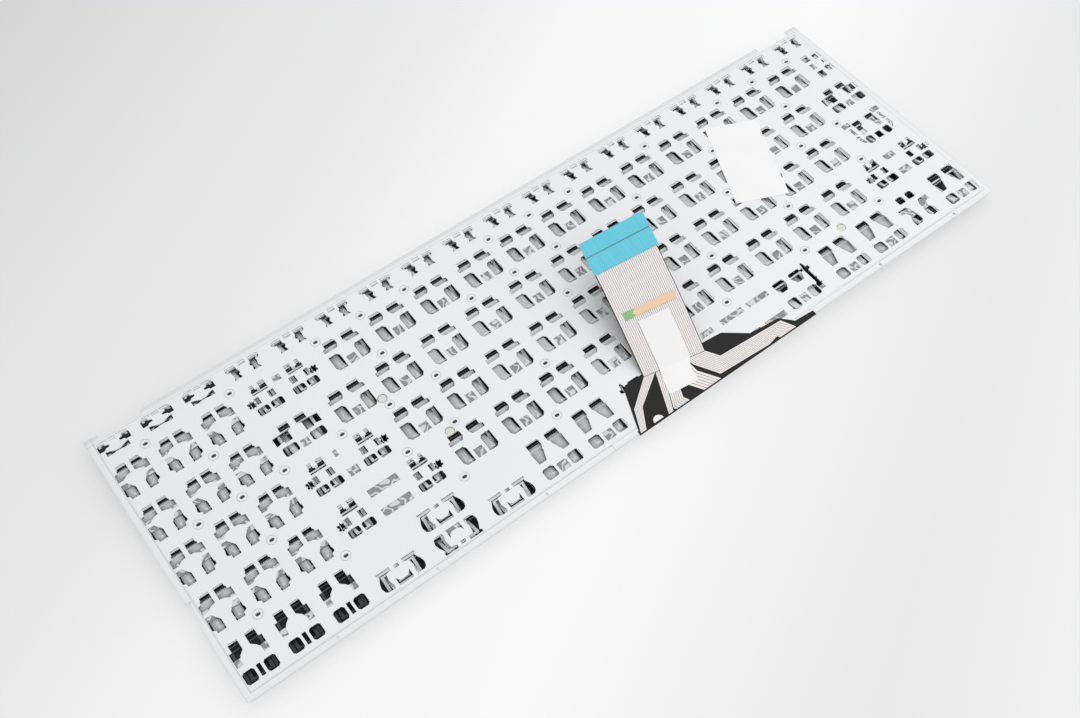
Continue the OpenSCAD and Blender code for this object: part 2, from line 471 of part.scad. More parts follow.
module back_plate() {
    color("#e6e9ec") {
        translate([0, 0, plate_z]) linear_extrude(plate_t) difference() {
            intersection() {
                plate_field();
                plate_outline();
            }
            for (p = WINDOWS) polygon(p);
            for (s = STAKES) translate(s) slot_2d(slot_l, slot_w);
            for (s = SIGHTS) translate(s) circle(d = sight_d, $fn = 32);
        }
        translate([0, 0, plate_z - rim_step]) linear_extrude(plate_t) difference() {
            plate_outline();
            plate_field();
            for (n = edge_notches) translate([n[0] - n[1] / 2, edge_y + 0.4]) square([n[1], 1.4]);
        }
        for (h = concat(HOOKS, CLIPS)) translate([h[0][1] + h[1][1], h[0][2], 0])
            rotate([0, 0, h[1][2]]) plate_hook(h[2], h[3], h[4], h[5], h[6]);
    }
}

// The circuit film's folded flap on the back of the plate
wrap_x0 = -11.5;
wrap_x1 = 69;
lift = [15.5, -40.5];
flap = [[wrap_x0, edge_y], [-5, -38.4], [-3.6, -37], [5, -37], [27.6, -39.7], [36.8, -40.6],
    [45, -47], [57, -48.2], [61, -52.6], [69, -53.2], [wrap_x1, edge_y]];

FILM_HOLES = [for (k = KEYS) each concat(
    [for (s = k[6], p = film_holes(s[0], window_w(k), near_edge(k))) [for (q = p)
        let (c = cos(s[2]), n = sin(s[2]))
        [k[1] + s[1] + q[0] * c - q[1] * n, k[2] + q[0] * n + q[1] * c]]],
    [if (k[7] > 0) for (side = [-1, 1]) each [
        [for (q = box(side * k[7] - 2.6, -4, side * k[7] + 2.6, 8.2)) [k[1] + q[0], k[2] + q[1]]],
        if (k[0] == "space") [for (q = box(side * clip_x(k) - 1, 5.3, side * clip_x(k) + 1, 8.2))
            [k[1] + q[0], k[2] + q[1]]]]])];

// One film of the membrane, cut away round the scissors and the slots that take studs
module film_sheet(z) {
    inset = rim_w + fit;
    half = plate_w / 2 - inset;
    translate([0, 0, z]) linear_extrude(film_t) difference() {
        translate([-half, edge_y + inset]) square([2 * half, top_y - edge_y - inset - 0.7]);
        for (p = FILM_HOLES) polygon(p);
        for (s = concat(PAD_STUDS, ROW_STUDS)) translate(s)
            square([slot_l + 2 * fit, slot_w + 2 * fit], center = true);
    }
}

// The tail's run: rings from its root to its free end, each [middle, turn sideways]
tail_rings = 12;
function tail_pitch(u) = tail_rise + (tail_end_rise - tail_rise) * u;
function tail_at(u, n = 24) = let (du = u * tail_l / n) [
    u == 0 ? 0 : du * len_sum([for (i = [0:n - 1]) cos(tail_pitch(u * (i + 0.5) / n))]),
    u == 0 ? 0 : du * len_sum([for (i = [0:n - 1]) sin(tail_pitch(u * (i + 0.5) / n))])];
function len_sum(v) = v * [for (x = v) 1];
// A point of the tail: u along it, across it, and above its lower face
function tail_point(u, across, up) = let (p = tail_at(u), a = tail_pitch(u), r = tail_twist * u,
    side = across * cos(r), rise = across * sin(r),
    y = p[0] - up * sin(a), z = p[1] + up * cos(a) + rise)
    [lift[0] + side * cos(tail_lean) + y * sin(tail_lean),
     lift[1] - side * sin(tail_lean) + y * cos(tail_lean), stack_h + z];

// A sheet that follows the tail from u0 to u1 between two heights
module tail_sheet(u0, u1, x0, x1, low, high, rings) {
    function ring(u) = [tail_point(u, x0, low), tail_point(u, x1, low), tail_point(u, x1, high),
        tail_point(u, x0, high)];
    points = [for (i = [0:rings]) each ring(u0 + (u1 - u0) * i / rings)];
    faces = concat([[3, 2, 1, 0]], [[for (i = [0:3]) 4 * rings + i]],
        [for (i = [0:rings - 1], j = [0:3]) let (a = 4 * i + j, b = 4 * i + (j + 1) % 4)
            each [[b, a + 4, a], [b + 4, a + 4, b]]]);
    polyhedron(points, faces);
}

function arc(r, y, z, n = 8) =
    [for (i = [0:n]) let (a = 90 + 180 * i / n) [y + r * cos(a), z + r * sin(a)]];
function back(list) = [for (i = [len(list) - 1:-1:0]) list[i]];

module circuit_film() {
    wrap_r = plate_t / 2;
    wrap_y = edge_y - wrap_gap;
    inner = edge_y + rim_w + 1;
    color("#3a3635") {
        film_sheet(plate_z - film_t);
        translate([wrap_x0, 0, 0]) rotate([90, 0, 90]) linear_extrude(wrap_x1 - wrap_x0)
            polygon(concat([[edge_y + 1, stack_h + film_t]],
                arc(wrap_r + film_t, wrap_y, plate_z + wrap_r), [[inner, plate_z - film_t],
                [inner, plate_z]], back(arc(wrap_r, wrap_y, plate_z + wrap_r)),
                [[edge_y + 1, stack_h]]));
        translate([0, 0, stack_h]) linear_extrude(film_t) polygon(flap);
    }
    color("#cfc6bd") tail_sheet(0, 1, -tail_w / 2, tail_w / 2, film_t / 2, film_t / 2 + tail_t,
        tail_rings);
}

module contact_film() {
    color("#e3e8ea") film_sheet(film_z);
}

tail_face = film_t / 2 + tail_t + glue_t;

module tail_stiffener() {
    u0 = 1 - stiffener_l / tail_l;
    color("#22a9c4") tail_sheet(u0, 1, -tail_w / 2 - 0.5, tail_w / 2 + 0.5, tail_face,
        tail_face + stiffener_t, 4);
}

module tail_guard_strip() {
    color("#eec39b") tail_sheet(0.388, 0.442, -9.5, 10.1, tail_face, tail_face + label_t, 1);
}

module tail_label() {
    color("#fbfbfb") tail_sheet(0.005, 0.35, -5.8, 6, tail_face, tail_face + label_t, 5);
}

label_w = 21;
label_l = 38.3;
label_at = [96.85, 12.8];
label_turn = -23;

module plate_label() {
    color("#fcfcfc") translate([label_at[0], label_at[1], stack_h]) rotate([0, 0, label_turn])
        translate([-label_w / 2, -label_l / 2, 0]) cube([label_w, label_l, label_t]);
}

// A silicone dome glued to the contact film: its cup folds, and its nib carries the key
module dome(s) {
    r = dome_r(s);
    nib = r * 0.45;
    tip = cap_top + 0.1;
    rotate_extrude($fn = 24) polygon([[0, tip], [nib, tip], [nib, tip + 0.7],
        [r, film_z - 0.4], [r, film_z], [r - dome_wall, film_z], [nib - 0.1, tip + 1.2],
        [nib - 0.1, film_z - 0.9], [0, film_z - 0.9]]);
}

module rubber_domes() {
    color("#e9e6e0") for (k = KEYS) translate([k[1], k[2], 0]) dome(k[6][0][0]);
}

// The frames lie flat along +y from their plate pin, and are then tilted about it
module bar(x0, x1, y, r) {
    translate([x0, y, 0]) rotate([0, 90, 0]) cylinder(r = r, h = x1 - x0, $fn = 16);
}

module outer_frame_flat(s) {
    l = fold_l(s);
    x1 = half_w(s);
    x0 = x1 - 1;
    difference() {
        for (x = [-x1, x0]) translate([x, -0.35, -frame_t / 2]) cube([1, l + 0.7, frame_t]);
        bar(-x1 - 1, x1 + 1, l / 2, stub_r + 0.1);
    }
    for (y = [0, l]) bar(-x0 - 0.1, x0 + 0.1, y, pin_r);
}

module inner_frame_flat(s) {
    l = fold_l(s);
    x0 = arm_in(s);
    x1 = arm_out(s);
    for (x = [-x1, x0]) translate([x, -0.35, -frame_t / 2]) cube([x1 - x0, l + 0.7, frame_t]);
    for (y = [0, l]) bar(-x0 - 0.1, x0 + 0.1, y, pin_r);
    for (x = [-half_w(s) + 0.2, x1 - 0.1]) bar(x, x + half_w(s) - x1 - 0.1, l / 2, stub_r);
}

// Outer frame: held at the upper plate hooks, its far end in the keycap
module outer_frame(s) {
    translate([0, top_pin(s), pin_z]) rotate([fold_angle(s), 0, 0]) mirror([0, 1, 0])
        outer_frame_flat(s);
}

// Inner frame: held at the lower plate hooks, its far end in the keycap
module inner_frame(s) {
    translate([0, low_pin(s), pin_z]) rotate([-fold_angle(s), 0, 0]) inner_frame_flat(s);
}

module outer_frames(keys) {
    for (k = keys) for (s = k[6]) translate([k[1] + s[1], k[2], 0]) rotate([0, 0, s[2]])
        outer_frame(s[0]);
}

module inner_frames(keys) {
    for (k = keys) for (s = k[6]) translate([k[1] + s[1], k[2], 0]) rotate([0, 0, s[2]])
        inner_frame(s[0]);
}

grey_keys = [for (k = KEYS) if (!is_dark(k) && !among(k[0], FOLDING)) k];

module scissor_outer_frames() {
    color("#c3c8ca") outer_frames(grey_keys);
}

module scissor_inner_frames() {
    color("#d3d7d8") inner_frames(grey_keys);
}

module dark_scissor_frames() {
    color("#2c2c2e") {
        outer_frames([for (k = KEYS) if (is_dark(k)) k]);
        inner_frames([for (k = KEYS) if (is_dark(k)) k]);
    }
}

// A hook in the keycap over a pin that may slide from -front to back
module cap_hook(x, y, back, front) {
    high = cap_pin_z + pin_r + pin_gap;
    translate([x + 0.4, y, 0]) rotate([90, 0, -90]) linear_extrude(0.4)
        polygon([[-front - 0.5, cap_top - 0.2], [-front, cap_top - 0.2], [-front, high],
            [back - 0.5, high], [back - 0.5, hook_z], [-front - 0.5, hook_z]]);
}

module cap_hooks(s) {
    reach = pin_r + pin_gap;
    for (side = [-1, 1]) {
        cap_hook(side > 0 ? s[5] : -s[5] - 0.4, top_pin(s), reach, reach + 0.35);
        cap_hook(side > 0 ? s[6] : -s[6] - 0.4, low_pin(s), reach + 0.35, reach);
    }
}

// A keycap lies top down: the bevelled top face is at z 0 and the skirt points up
module keycap(k) {
    w = k[3];
    d = k[4];
    translate([k[1], k[2], 0]) {
        difference() {
            intersection() {
                linear_extrude(cap_h) round_2d(w, d, cap_r);
                rotate([90, 0, 0]) linear_extrude(d + 2, center = true)
                    polygon([[-w / 2 + cap_bevel, 0], [w / 2 - cap_bevel, 0], [w / 2 + small, cap_bevel],
                        [w / 2 + small, cap_h], [-w / 2 - small, cap_h], [-w / 2 - small, cap_bevel]]);
                rotate([90, 0, 90]) linear_extrude(w + 2, center = true)
                    polygon([[-d / 2 + cap_bevel, 0], [d / 2 - cap_bevel, 0], [d / 2 + small, cap_bevel],
                        [d / 2 + small, cap_h], [-d / 2 - small, cap_h], [-d / 2 - small, cap_bevel]]);
            }
            translate([-w / 2 + cap_wall, -d / 2 + cap_wall, cap_top])
                cube([w - 2 * cap_wall, d - 2 * cap_wall, cap_h]);
        }
        for (s = k[6]) translate([s[1], 0, 0]) rotate([0, 0, s[2]]) cap_hooks(s[0]);
        if (k[7] > 0) for (side = [-1, 1]) wire_foot_hook(side, k);
    }
}

module fixed_keycaps() {
    color("#b9bcc0") for (k = KEYS) if (!among(k[0], MOVING)) keycap(k);
}

// Stabiliser wire: a run that turns in the plate's clips, and a leg to the cap at each end
wire_z = pin_z;
function leg_l(k) = k[0] == "space" ? 9 : 6;
function leg_drop() = wire_z - cap_pin_z - 0.05;
function leg_angle(k) = asin(leg_drop() / leg_l(k));
function foot_y(k) = clip_y(k) - leg_l(k) * cos(leg_angle(k));

module wire(k) {
    x = k[7];
    r = wire_d / 2;
    l = leg_l(k);
    translate([k[1], k[2] + clip_y(k), wire_z]) {
        rotate([0, 90, 0]) cylinder(r = pin_r, h = 2 * x, center = true, $fn = 16);
        for (side = [-1, 1]) rotate([leg_angle(k), 0, 0]) translate([side * x, 0, 0]) {
            sphere(r, $fn = 16);
            rotate([90, 0, 0]) cylinder(r = r, h = l, $fn = 16);
            translate([0, -l, 0]) sphere(r, $fn = 16);
            translate([0, -l, 0]) rotate([0, side * -90, 0]) cylinder(r = pin_r, h = 1.6, $fn = 16);
        }
    }
}

// The hook in the keycap that takes the foot of a wire's leg
module wire_foot_hook(side, k) {
    reach = pin_r + pin_gap;
    x = side > 0 ? k[7] - 1.4 : -k[7] + 1;
    cap_hook(x, foot_y(k), reach + 0.5, reach);
}

back_plate();
circuit_film();
contact_film();
tail_stiffener();
tail_guard_strip();
tail_label();
plate_label();
rubber_domes();
scissor_outer_frames();
scissor_inner_frames();
dark_scissor_frames();
fixed_keycaps();
for (n = MOVING) color("#b9bcc0") keycap(find_key(n));
for (n = FOLDING) {
    color("#c3c8ca") outer_frames([find_key(n)]);
    color("#d3d7d8") inner_frames([find_key(n)]);
}
for (n = WIRED) color("#6d7073") wire(find_key(n));
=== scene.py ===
import math

import bmesh
import bpy
from bpy.props import FloatProperty, FloatVectorProperty, IntProperty, PointerProperty
from mathutils import Euler, Matrix, Vector


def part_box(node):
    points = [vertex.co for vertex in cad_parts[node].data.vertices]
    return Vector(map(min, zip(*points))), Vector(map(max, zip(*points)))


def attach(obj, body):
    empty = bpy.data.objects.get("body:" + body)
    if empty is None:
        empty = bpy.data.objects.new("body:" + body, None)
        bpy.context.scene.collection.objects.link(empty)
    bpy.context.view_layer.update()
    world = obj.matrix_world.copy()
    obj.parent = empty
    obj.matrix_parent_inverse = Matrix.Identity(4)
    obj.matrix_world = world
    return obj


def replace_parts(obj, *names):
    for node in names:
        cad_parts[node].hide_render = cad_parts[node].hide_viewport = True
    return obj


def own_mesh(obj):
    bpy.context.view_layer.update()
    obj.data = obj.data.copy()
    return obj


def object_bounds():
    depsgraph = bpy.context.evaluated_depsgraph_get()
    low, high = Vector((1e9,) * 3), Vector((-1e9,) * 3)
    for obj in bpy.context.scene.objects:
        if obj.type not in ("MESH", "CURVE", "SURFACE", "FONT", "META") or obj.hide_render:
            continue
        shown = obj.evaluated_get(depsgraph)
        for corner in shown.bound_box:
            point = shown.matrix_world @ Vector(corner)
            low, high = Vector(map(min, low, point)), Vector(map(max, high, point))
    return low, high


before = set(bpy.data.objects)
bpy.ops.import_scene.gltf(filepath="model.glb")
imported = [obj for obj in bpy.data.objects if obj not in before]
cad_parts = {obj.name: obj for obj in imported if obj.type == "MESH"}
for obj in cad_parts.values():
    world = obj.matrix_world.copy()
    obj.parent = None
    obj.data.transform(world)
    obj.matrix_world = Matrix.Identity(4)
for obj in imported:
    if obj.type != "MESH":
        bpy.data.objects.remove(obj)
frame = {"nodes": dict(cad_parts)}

bl_info = {
    "name": "Laptop keyboard, seen from the back",
    "version": (1, 0, 0),
    "blender": (4, 5, 0),
    "location": "View3D > Sidebar > Keyboard",
    "description": "Finishes the plate, films, tail, keys and stage of a replacement keyboard",
    "category": "Object",
}

CAD_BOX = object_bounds()
NODES = frame["nodes"]
MM = 0.001

# The same named values as the part's source, in millimetres
KEY_PITCH = 19.05
ROW_PITCH = 18.77
FN_PITCH = 18.23
PAD_PITCH = 15.97
PAD_X0 = -160.855
BLOCK_X0 = PAD_X0 + 3 * PAD_PITCH
LETTER_Y0 = -32.565
PLATE_TOP = 5.3
FILM_T = 0.15
FILM_LOW = 4.6
TAIL_W = 24.4
TAIL_L = 53.0
TAIL_T = 0.2
TAIL_RISE = 26.0
TAIL_END_RISE = 15.0
TAIL_TWIST = 12.0
TAIL_LEAN = 11.0
GLUE_T = 0.25
LABEL_T = 0.12
STIFFENER_L = 13.0
STIFFENER_T = 0.25
LIFT = (15.5, -40.5)
EDGE_Y = -54.465
# How far in from the plate's edge the painted shade of the rolled rim reaches
RIM_SHADE_REACH = 4.6
# Where the painted shade line of the fold inside the plate's back edge lies
BACK_SHADE_LINE_Y = 52.1
# Letter rows: where the first key starts, right of the number pad, and how many keys
ROWS = ((31.8, 12), (22.2, 12), (36.4, 11), (45.8, 10))
BOTTOM_CELL = 20.4
ARROW_W = 21.6
SPACE_W = 95.0
# From the tail's middle line to the tape's left end, and how much of the tape is green
TAPE_LEFT = 9.5
GREEN_L = 3.4
# The tail's bare border, and the bare share of a track's pitch on either side of it
TAIL_BORDER = 0.25
TRACK_GAP = 0.08
# Where the pins of each kind of scissor lie, above and below the key's middle
PINS = {"letter": (4.4, -5.0), "pad": (4.6, -5.2), "bottom": (5.0, -5.8)}
# The undersides and tops of the frames' webs
WEB_LOW = 4.15
WEB_HIGH = 4.4
# The dark ovals down in the slots, painted shade where the slots are deep
SLOT_SHADE_L = 1.7
SLOT_SHADE_W = 0.95


class PlateSettings(bpy.types.PropertyGroup):
    """Sizes and colours of the back plate"""
    lacquer: FloatVectorProperty(
        name="Lacquer", description="Colour of the back plate's lacquer",
        subtype="COLOR", min=0, max=1, default=(0.80, 0.81, 0.82))
    ring_radius: FloatProperty(
        name="Dimple radius", description="Radius of the pressed ring round each staking slot",
        unit="LENGTH", subtype="DISTANCE", min=0.0012, max=0.003, default=0.00168)
    ring_bead: FloatProperty(
        name="Dimple bead", description="Half the width of that pressed ring",
        unit="LENGTH", subtype="DISTANCE", min=0.00002, max=0.0003, default=0.00013)


class FilmSettings(bpy.types.PropertyGroup):
    """Sizes and colours of the membrane, its tail and what is stuck on it"""
    circuit: FloatVectorProperty(
        name="Circuit film", description="Colour of the printed circuit film",
        subtype="COLOR", min=0, max=1, default=(0.012, 0.011, 0.011))
    milky: FloatVectorProperty(
        name="Milky film", description="Colour of the unprinted film, seen through the windows",
        subtype="COLOR", min=0, max=1, default=(0.66, 0.67, 0.675))
    track: FloatVectorProperty(
        name="Tracks", description="Colour of the printed silver tracks",
        subtype="COLOR", min=0, max=1, default=(0.84, 0.80, 0.79))
    stiffener: FloatVectorProperty(
        name="Stiffener", description="Colour of the stiffener at the tail's free end",
        subtype="COLOR", min=0, max=1, default=(0.11, 0.57, 0.72))
    track_count: IntProperty(
        name="Tracks in all", description="Number of tracks side by side on the tail",
        min=8, max=48, default=32)
    track_t: FloatProperty(
        name="Track height", description="How far the tracks stand above the tail",
        unit="LENGTH", subtype="DISTANCE", min=0.00002, max=0.0002, default=0.00012)


class KeySettings(bpy.types.PropertyGroup):
    """Colours of the keycaps, scissor frames and domes"""
    cap: FloatVectorProperty(
        name="Keycap", description="Paint on the outside of the keycaps",
        subtype="COLOR", min=0, max=1, default=(0.46, 0.47, 0.49))
    underside: FloatVectorProperty(
        name="Keycap underside", description="Bare plastic inside the keycaps",
        subtype="COLOR", min=0, max=1, default=(0.012, 0.012, 0.014))
    frame: FloatVectorProperty(
        name="Scissor frames", description="Colour of the moulded scissor frames",
        subtype="COLOR", min=0, max=1, default=(0.66, 0.67, 0.68))
    dome: FloatVectorProperty(
        name="Domes", description="Colour of the silicone domes",
        subtype="COLOR", min=0, max=1, default=(0.80, 0.78, 0.75))


class StageSettings(bpy.types.PropertyGroup):
    """Floor, lamp and sky"""
    floor: FloatVectorProperty(
        name="Floor", description="Colour of the floor",
        subtype="COLOR", min=0, max=1, default=(0.90, 0.90, 0.90))
    sky: FloatProperty(
        name="Sky", description="Strength of the even light from all round",
        min=0, max=2, default=0.7)
    lamp: FloatProperty(
        name="Lamp power", description="Power of the large soft lamp",
        unit="POWER", min=0, max=100, default=4.4)


def settings():
    """The keyboard's settings in this scene."""
    return bpy.context.scene.keyboard_back


# Materials

def finish(name, colour, roughness, metallic=0.0, ior=1.5):
    """A new material, its node tree and its Principled shader."""
    mat = bpy.data.materials.new(name)
    mat.use_nodes = True
    shader = mat.node_tree.nodes["Principled BSDF"]
    shader.inputs["Base Color"].default_value = (*colour, 1)
    shader.inputs["Roughness"].default_value = roughness
    shader.inputs["Metallic"].default_value = metallic
    shader.inputs["IOR"].default_value = ior
    mat.diffuse_color = (*colour, 1)
    return mat, mat.node_tree, shader


def place(tree, turn=(0, 0, 0), shift=(0, 0, 0), scale=(1, 1, 1)):
    """Object coordinates, turned, shifted and scaled."""
    coords = tree.nodes.new("ShaderNodeTexCoord")
    mapping = tree.nodes.new("ShaderNodeMapping")
    mapping.inputs["Location"].default_value = shift
    mapping.inputs["Rotation"].default_value = turn
    mapping.inputs["Scale"].default_value = scale
    tree.links.new(coords.outputs["Object"], mapping.inputs["Vector"])
    return mapping.outputs["Vector"]


def noise(tree, vector, scale, detail=3.0, rough=0.5):
    """The value of a noise texture, with scale in turns to the metre."""
    node = tree.nodes.new("ShaderNodeTexNoise")
    node.inputs["Scale"].default_value = scale
    node.inputs["Detail"].default_value = detail
    node.inputs["Roughness"].default_value = rough
    tree.links.new(vector, node.inputs["Vector"])
    return node.outputs["Fac"]


def ramp(tree, value, stops):
    """A colour ramp over a value, from (place, colour) stops."""
    node = tree.nodes.new("ShaderNodeValToRGB")
    elements = node.color_ramp.elements
    for number, (at, colour) in enumerate(stops):
        element = elements[number] if number < 2 else elements.new(at)
        element.position = at
        element.color = (*colour, 1)
    tree.links.new(value, node.inputs["Fac"])
    return node.outputs["Color"]


def spread(tree, value, low, high):
    """Maps a value of 0.3 to 0.7, where noise mostly lies, to low to high."""
    node = tree.nodes.new("ShaderNodeMapRange")
    node.inputs["From Min"].default_value = 0.3
    node.inputs["From Max"].default_value = 0.7
    node.inputs["To Min"].default_value = low
    node.inputs["To Max"].default_value = high
    tree.links.new(value, node.inputs["Value"])
    return node.outputs["Result"]


def bump(tree, shader, height, strength, distance):
    """Gives the shader a bump from a height value, with distance in metres."""
    node = tree.nodes.new("ShaderNodeBump")
    node.inputs["Strength"].default_value = strength
    node.inputs["Distance"].default_value = distance
    tree.links.new(height, node.inputs["Height"])
    tree.links.new(node.outputs["Normal"], shader.inputs["Normal"])


def shade(colour, amount):
    """The colour made darker or lighter by a factor."""
    return tuple(max(0.0, min(1.0, c * amount)) for c in colour)


def mottled(name, colour, roughness, spot, tone=0.04, grain=9000, depth=0.4,
            metallic=0.0, stretch=(1, 1, 1)):
    """A surface with a slow change of tone, a fine grain and uneven gloss."""
    mat, tree, shader = finish(name, colour, roughness, metallic)
    vector = place(tree, scale=stretch)
    slow = noise(tree, vector, spot)
    fine = noise(tree, vector, grain, 2.0)
    tint = ramp(tree, slow, [(0.3, shade(colour, 1 - tone)), (0.7, shade(colour, 1 + tone))])
    tree.links.new(tint, shader.inputs["Base Color"])
    gloss = spread(tree, fine, roughness - 0.05, roughness + 0.05)
    tree.links.new(gloss, shader.inputs["Roughness"])
    bump(tree, shader, fine, depth, 0.00002)
    return mat


def join_math(tree, kind, first, second):
    """A Math node over two values, each a socket or a number."""
    node = tree.nodes.new("ShaderNodeMath")
    node.operation = kind
    for number, value in enumerate((first, second)):
        if isinstance(value, float):
            node.inputs[number].default_value = value
        else:
            tree.links.new(value, node.inputs[number])
    return node.outputs["Value"]


def parted(tree, vector):
    """The three parts of a vector."""
    node = tree.nodes.new("ShaderNodeSeparateXYZ")
    tree.links.new(vector, node.inputs["Vector"])
    return node.outputs


def mix_colours(tree, blend):
    """A Mix node for colours, with its factor, two colour inputs and result."""
    node = tree.nodes.new("ShaderNodeMix")
    node.data_type = "RGBA"
    node.blend_type = blend
    colours = [socket for socket in node.inputs if socket.type == "RGBA"]
    result = [socket for socket in node.outputs if socket.type == "RGBA"][0]
    return node.inputs["Factor"], *colours, result


def lacquered_steel(colour):
    """Satin silver lacquer on sheet steel, with a fine orange peel, and painted shade: darker
    bands along a soft rolled rim at the front and sides, and a dark line along a fold inside the
    back edge."""
    mat = mottled("satin silver lacquer", colour, 0.42, 14, 0.012, 5200, 0.12, 0.12)
    tree = mat.node_tree
    shader = tree.nodes["Principled BSDF"]
    axes = parted(tree, place(tree))
    from_side = join_math(tree, "SUBTRACT", CAD_BOX[1].x,
                          join_math(tree, "ABSOLUTE", axes["X"], 0.0))
    from_front = join_math(tree, "SUBTRACT", axes["Y"], EDGE_Y * MM)
    inward = join_math(tree, "MINIMUM", from_side, from_front)
    along = join_math(tree, "DIVIDE", inward, RIM_SHADE_REACH * MM)
    # tone: painted shade, darker bands along the rolled rim at the front and sides
    tone = ramp(tree, along, [(0.0, (0.86,) * 3), (0.12, (0.97,) * 3), (0.42, (1.0,) * 3),
                              (0.52, (0.84,) * 3), (0.6, (0.96,) * 3), (0.8, (1.0,) * 3)])
    # back: a painted shade line along the fold inside the back edge, and darker towards that edge
    from_line = join_math(tree, "SUBTRACT", axes["Y"], (BACK_SHADE_LINE_Y - 0.5) * MM)
    back = ramp(tree, join_math(tree, "DIVIDE", from_line, 4 * MM), [
        (0.08, (1.0,) * 3), (0.12, (0.78,) * 3), (0.17, (1.0,) * 3), (0.42, (0.96,) * 3),
        (0.5, (0.88,) * 3)])
    for shadow in (tone, back):
        factor, first, second, result = mix_colours(tree, "MULTIPLY")
        factor.default_value = 1.0
        tree.links.new(shader.inputs["Base Color"].links[0].from_socket, first)
        tree.links.new(shadow, second)
        tree.links.new(result, shader.inputs["Base Color"])
    return mat


def two_sided_cap(paint, bare):
    """Keycap plastic: silver paint outside and bare dark plastic on what faces the plate."""
    mat, tree, shader = finish("silver paint over dark plastic", paint, 0.5)
    vector = place(tree)
    fine = noise(tree, vector, 8000, 2.0)
    geometry = tree.nodes.new("ShaderNodeNewGeometry")
    facing = parted(tree, geometry.outputs["Normal"])["Z"]
    colour = ramp(tree, facing, [(0.35, paint), (0.5, bare)])
    tree.links.new(colour, shader.inputs["Base Color"])
    tree.links.new(spread(tree, fine, 0.42, 0.58), shader.inputs["Roughness"])
    bump(tree, shader, fine, 0.3, 0.00002)
    return mat


def tape(colour, end_colour):
    """Crepe tape whose left end is printed green, with a ragged border."""
    mat, tree, shader = finish("peach tape with a green end", colour, 0.7)
    turn = math.radians(TAIL_LEAN)
    vector = place(tree, turn=(0, 0, turn))
    patch = noise(tree, vector, 420, 4.0, 0.6)
    wobble = spread(tree, patch, -0.0016, 0.0016)
    ragged = join_math(tree, "ADD", parted(tree, vector)["X"], wobble)
    middle = LIFT[0] * math.cos(turn) - LIFT[1] * math.sin(turn)
    at = (middle - TAPE_LEFT + GREEN_L) * MM
    edge = tree.nodes.new("ShaderNodeMapRange")
    edge.inputs["From Min"].default_value = at - 0.0003
    edge.inputs["From Max"].default_value = at + 0.0003
    tree.links.new(ragged, edge.inputs["Value"])
    tint = ramp(tree, edge.outputs["Result"], [(0.0, end_colour), (1.0, colour)])
    tree.links.new(tint, shader.inputs["Base Color"])
    bump(tree, shader, noise(tree, vector, 3000, 3.0), 0.4, 0.00003)
    return mat


def streaked(name, colour, roughness, across, tone):
    """Film with fine streaks that run along the tail."""
    mat, tree, shader = finish(name, colour, roughness)
    turn = (0, 0, math.radians(TAIL_LEAN))
    vector = place(tree, turn=turn, scale=(1, 0.02, 0.02))
    lines = noise(tree, vector, across, 2.0)
    tint = ramp(tree, lines, [(0.3, shade(colour, 1 - tone)), (0.7, shade(colour, 1 + tone))])
    tree.links.new(tint, shader.inputs["Base Color"])
    bump(tree, shader, lines, 0.25, 0.00003)
    return mat


def floor_paint(colour):
    """Seamless paper that is brighter to the camera, where it shows a painted shade that falls
    off towards one far corner.
    """
    mat, tree, shader = finish("white studio floor", colour, 0.9)
    vector = place(tree)
    slow = noise(tree, vector, 2.5)
    tint = ramp(tree, slow, [(0.3, shade(colour, 0.99)), (0.7, colour)])
    tree.links.new(tint, shader.inputs["Base Color"])
    # Painted shade: what the camera sees of the floor grows darker towards one far corner
    axes = parted(tree, place(tree, turn=(0, 0, math.radians(-30)), shift=(0, 0.3, 0)))
    falloff_greys = [(0.1, 0.86), (0.16, 0.74), (0.26, 0.98), (0.36, 0.92), (0.41, 0.77), (0.475, 0.71),
             (0.585, 0.53), (0.7, 0.45)]
    painted_falloff = ramp(tree, axes["Y"], [(at, (grey, grey, grey + 0.005)) for at, grey in falloff_greys])
    glow = tree.nodes.new("ShaderNodeEmission")
    tree.links.new(painted_falloff, glow.inputs["Color"])
    ray = tree.nodes.new("ShaderNodeLightPath")
    seen = join_math(tree, "MULTIPLY", ray.outputs["Is Camera Ray"], 0.6)
    mix = tree.nodes.new("ShaderNodeMixShader")
    tree.links.new(seen, mix.inputs["Fac"])
    tree.links.new(shader.outputs["BSDF"], mix.inputs[1])
    tree.links.new(glow.outputs["Emission"], mix.inputs[2])
    tree.links.new(mix.outputs["Shader"], tree.nodes["Material Output"].inputs["Surface"])
    return mat


# Meshes

def piece(name, mesh, body, slot, *materials):
    """Links a mesh as a finished piece that rides on a body."""
    obj = bpy.data.objects.new(name, mesh)
    bpy.context.scene.collection.objects.link(obj)
    for mat in materials:
        mesh.materials.append(mat)
    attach(obj, body)
    return obj


def dress(node, *materials):
    """Gives a carried-over CAD node its material."""
    obj = NODES[node]
    obj.data.materials.clear()
    for mat in materials:
        obj.data.materials.append(mat)
    return obj


def mesh_from(name, points, faces):
    """A mesh from points in millimetres and faces."""
    mesh = bpy.data.meshes.new(name)
    mesh.from_pydata([Vector(p) * MM for p in points], [], faces)
    mesh.validate()
    mesh.update()
    return mesh


def strip(points, faces, left, right, low, high):
    """Adds a thin closed strip between two rails of equal length to points and faces.
    low and high lift a rail point off its surface, as functions or numbers."""
    start = len(points)
    count = len(left)
    for a, b in zip(left, right):
        points.extend([low(a), low(b), high(b), high(a)])
    for i in range(count - 1):
        for j in range(4):
            a = start + 4 * i + j
            b = start + 4 * i + (j + 1) % 4
            faces.append((a, a + 4, b + 4, b))
    faces.append(tuple(start + j for j in (0, 1, 2, 3)))
    faces.append(tuple(start + 4 * (count - 1) + j for j in (3, 2, 1, 0)))


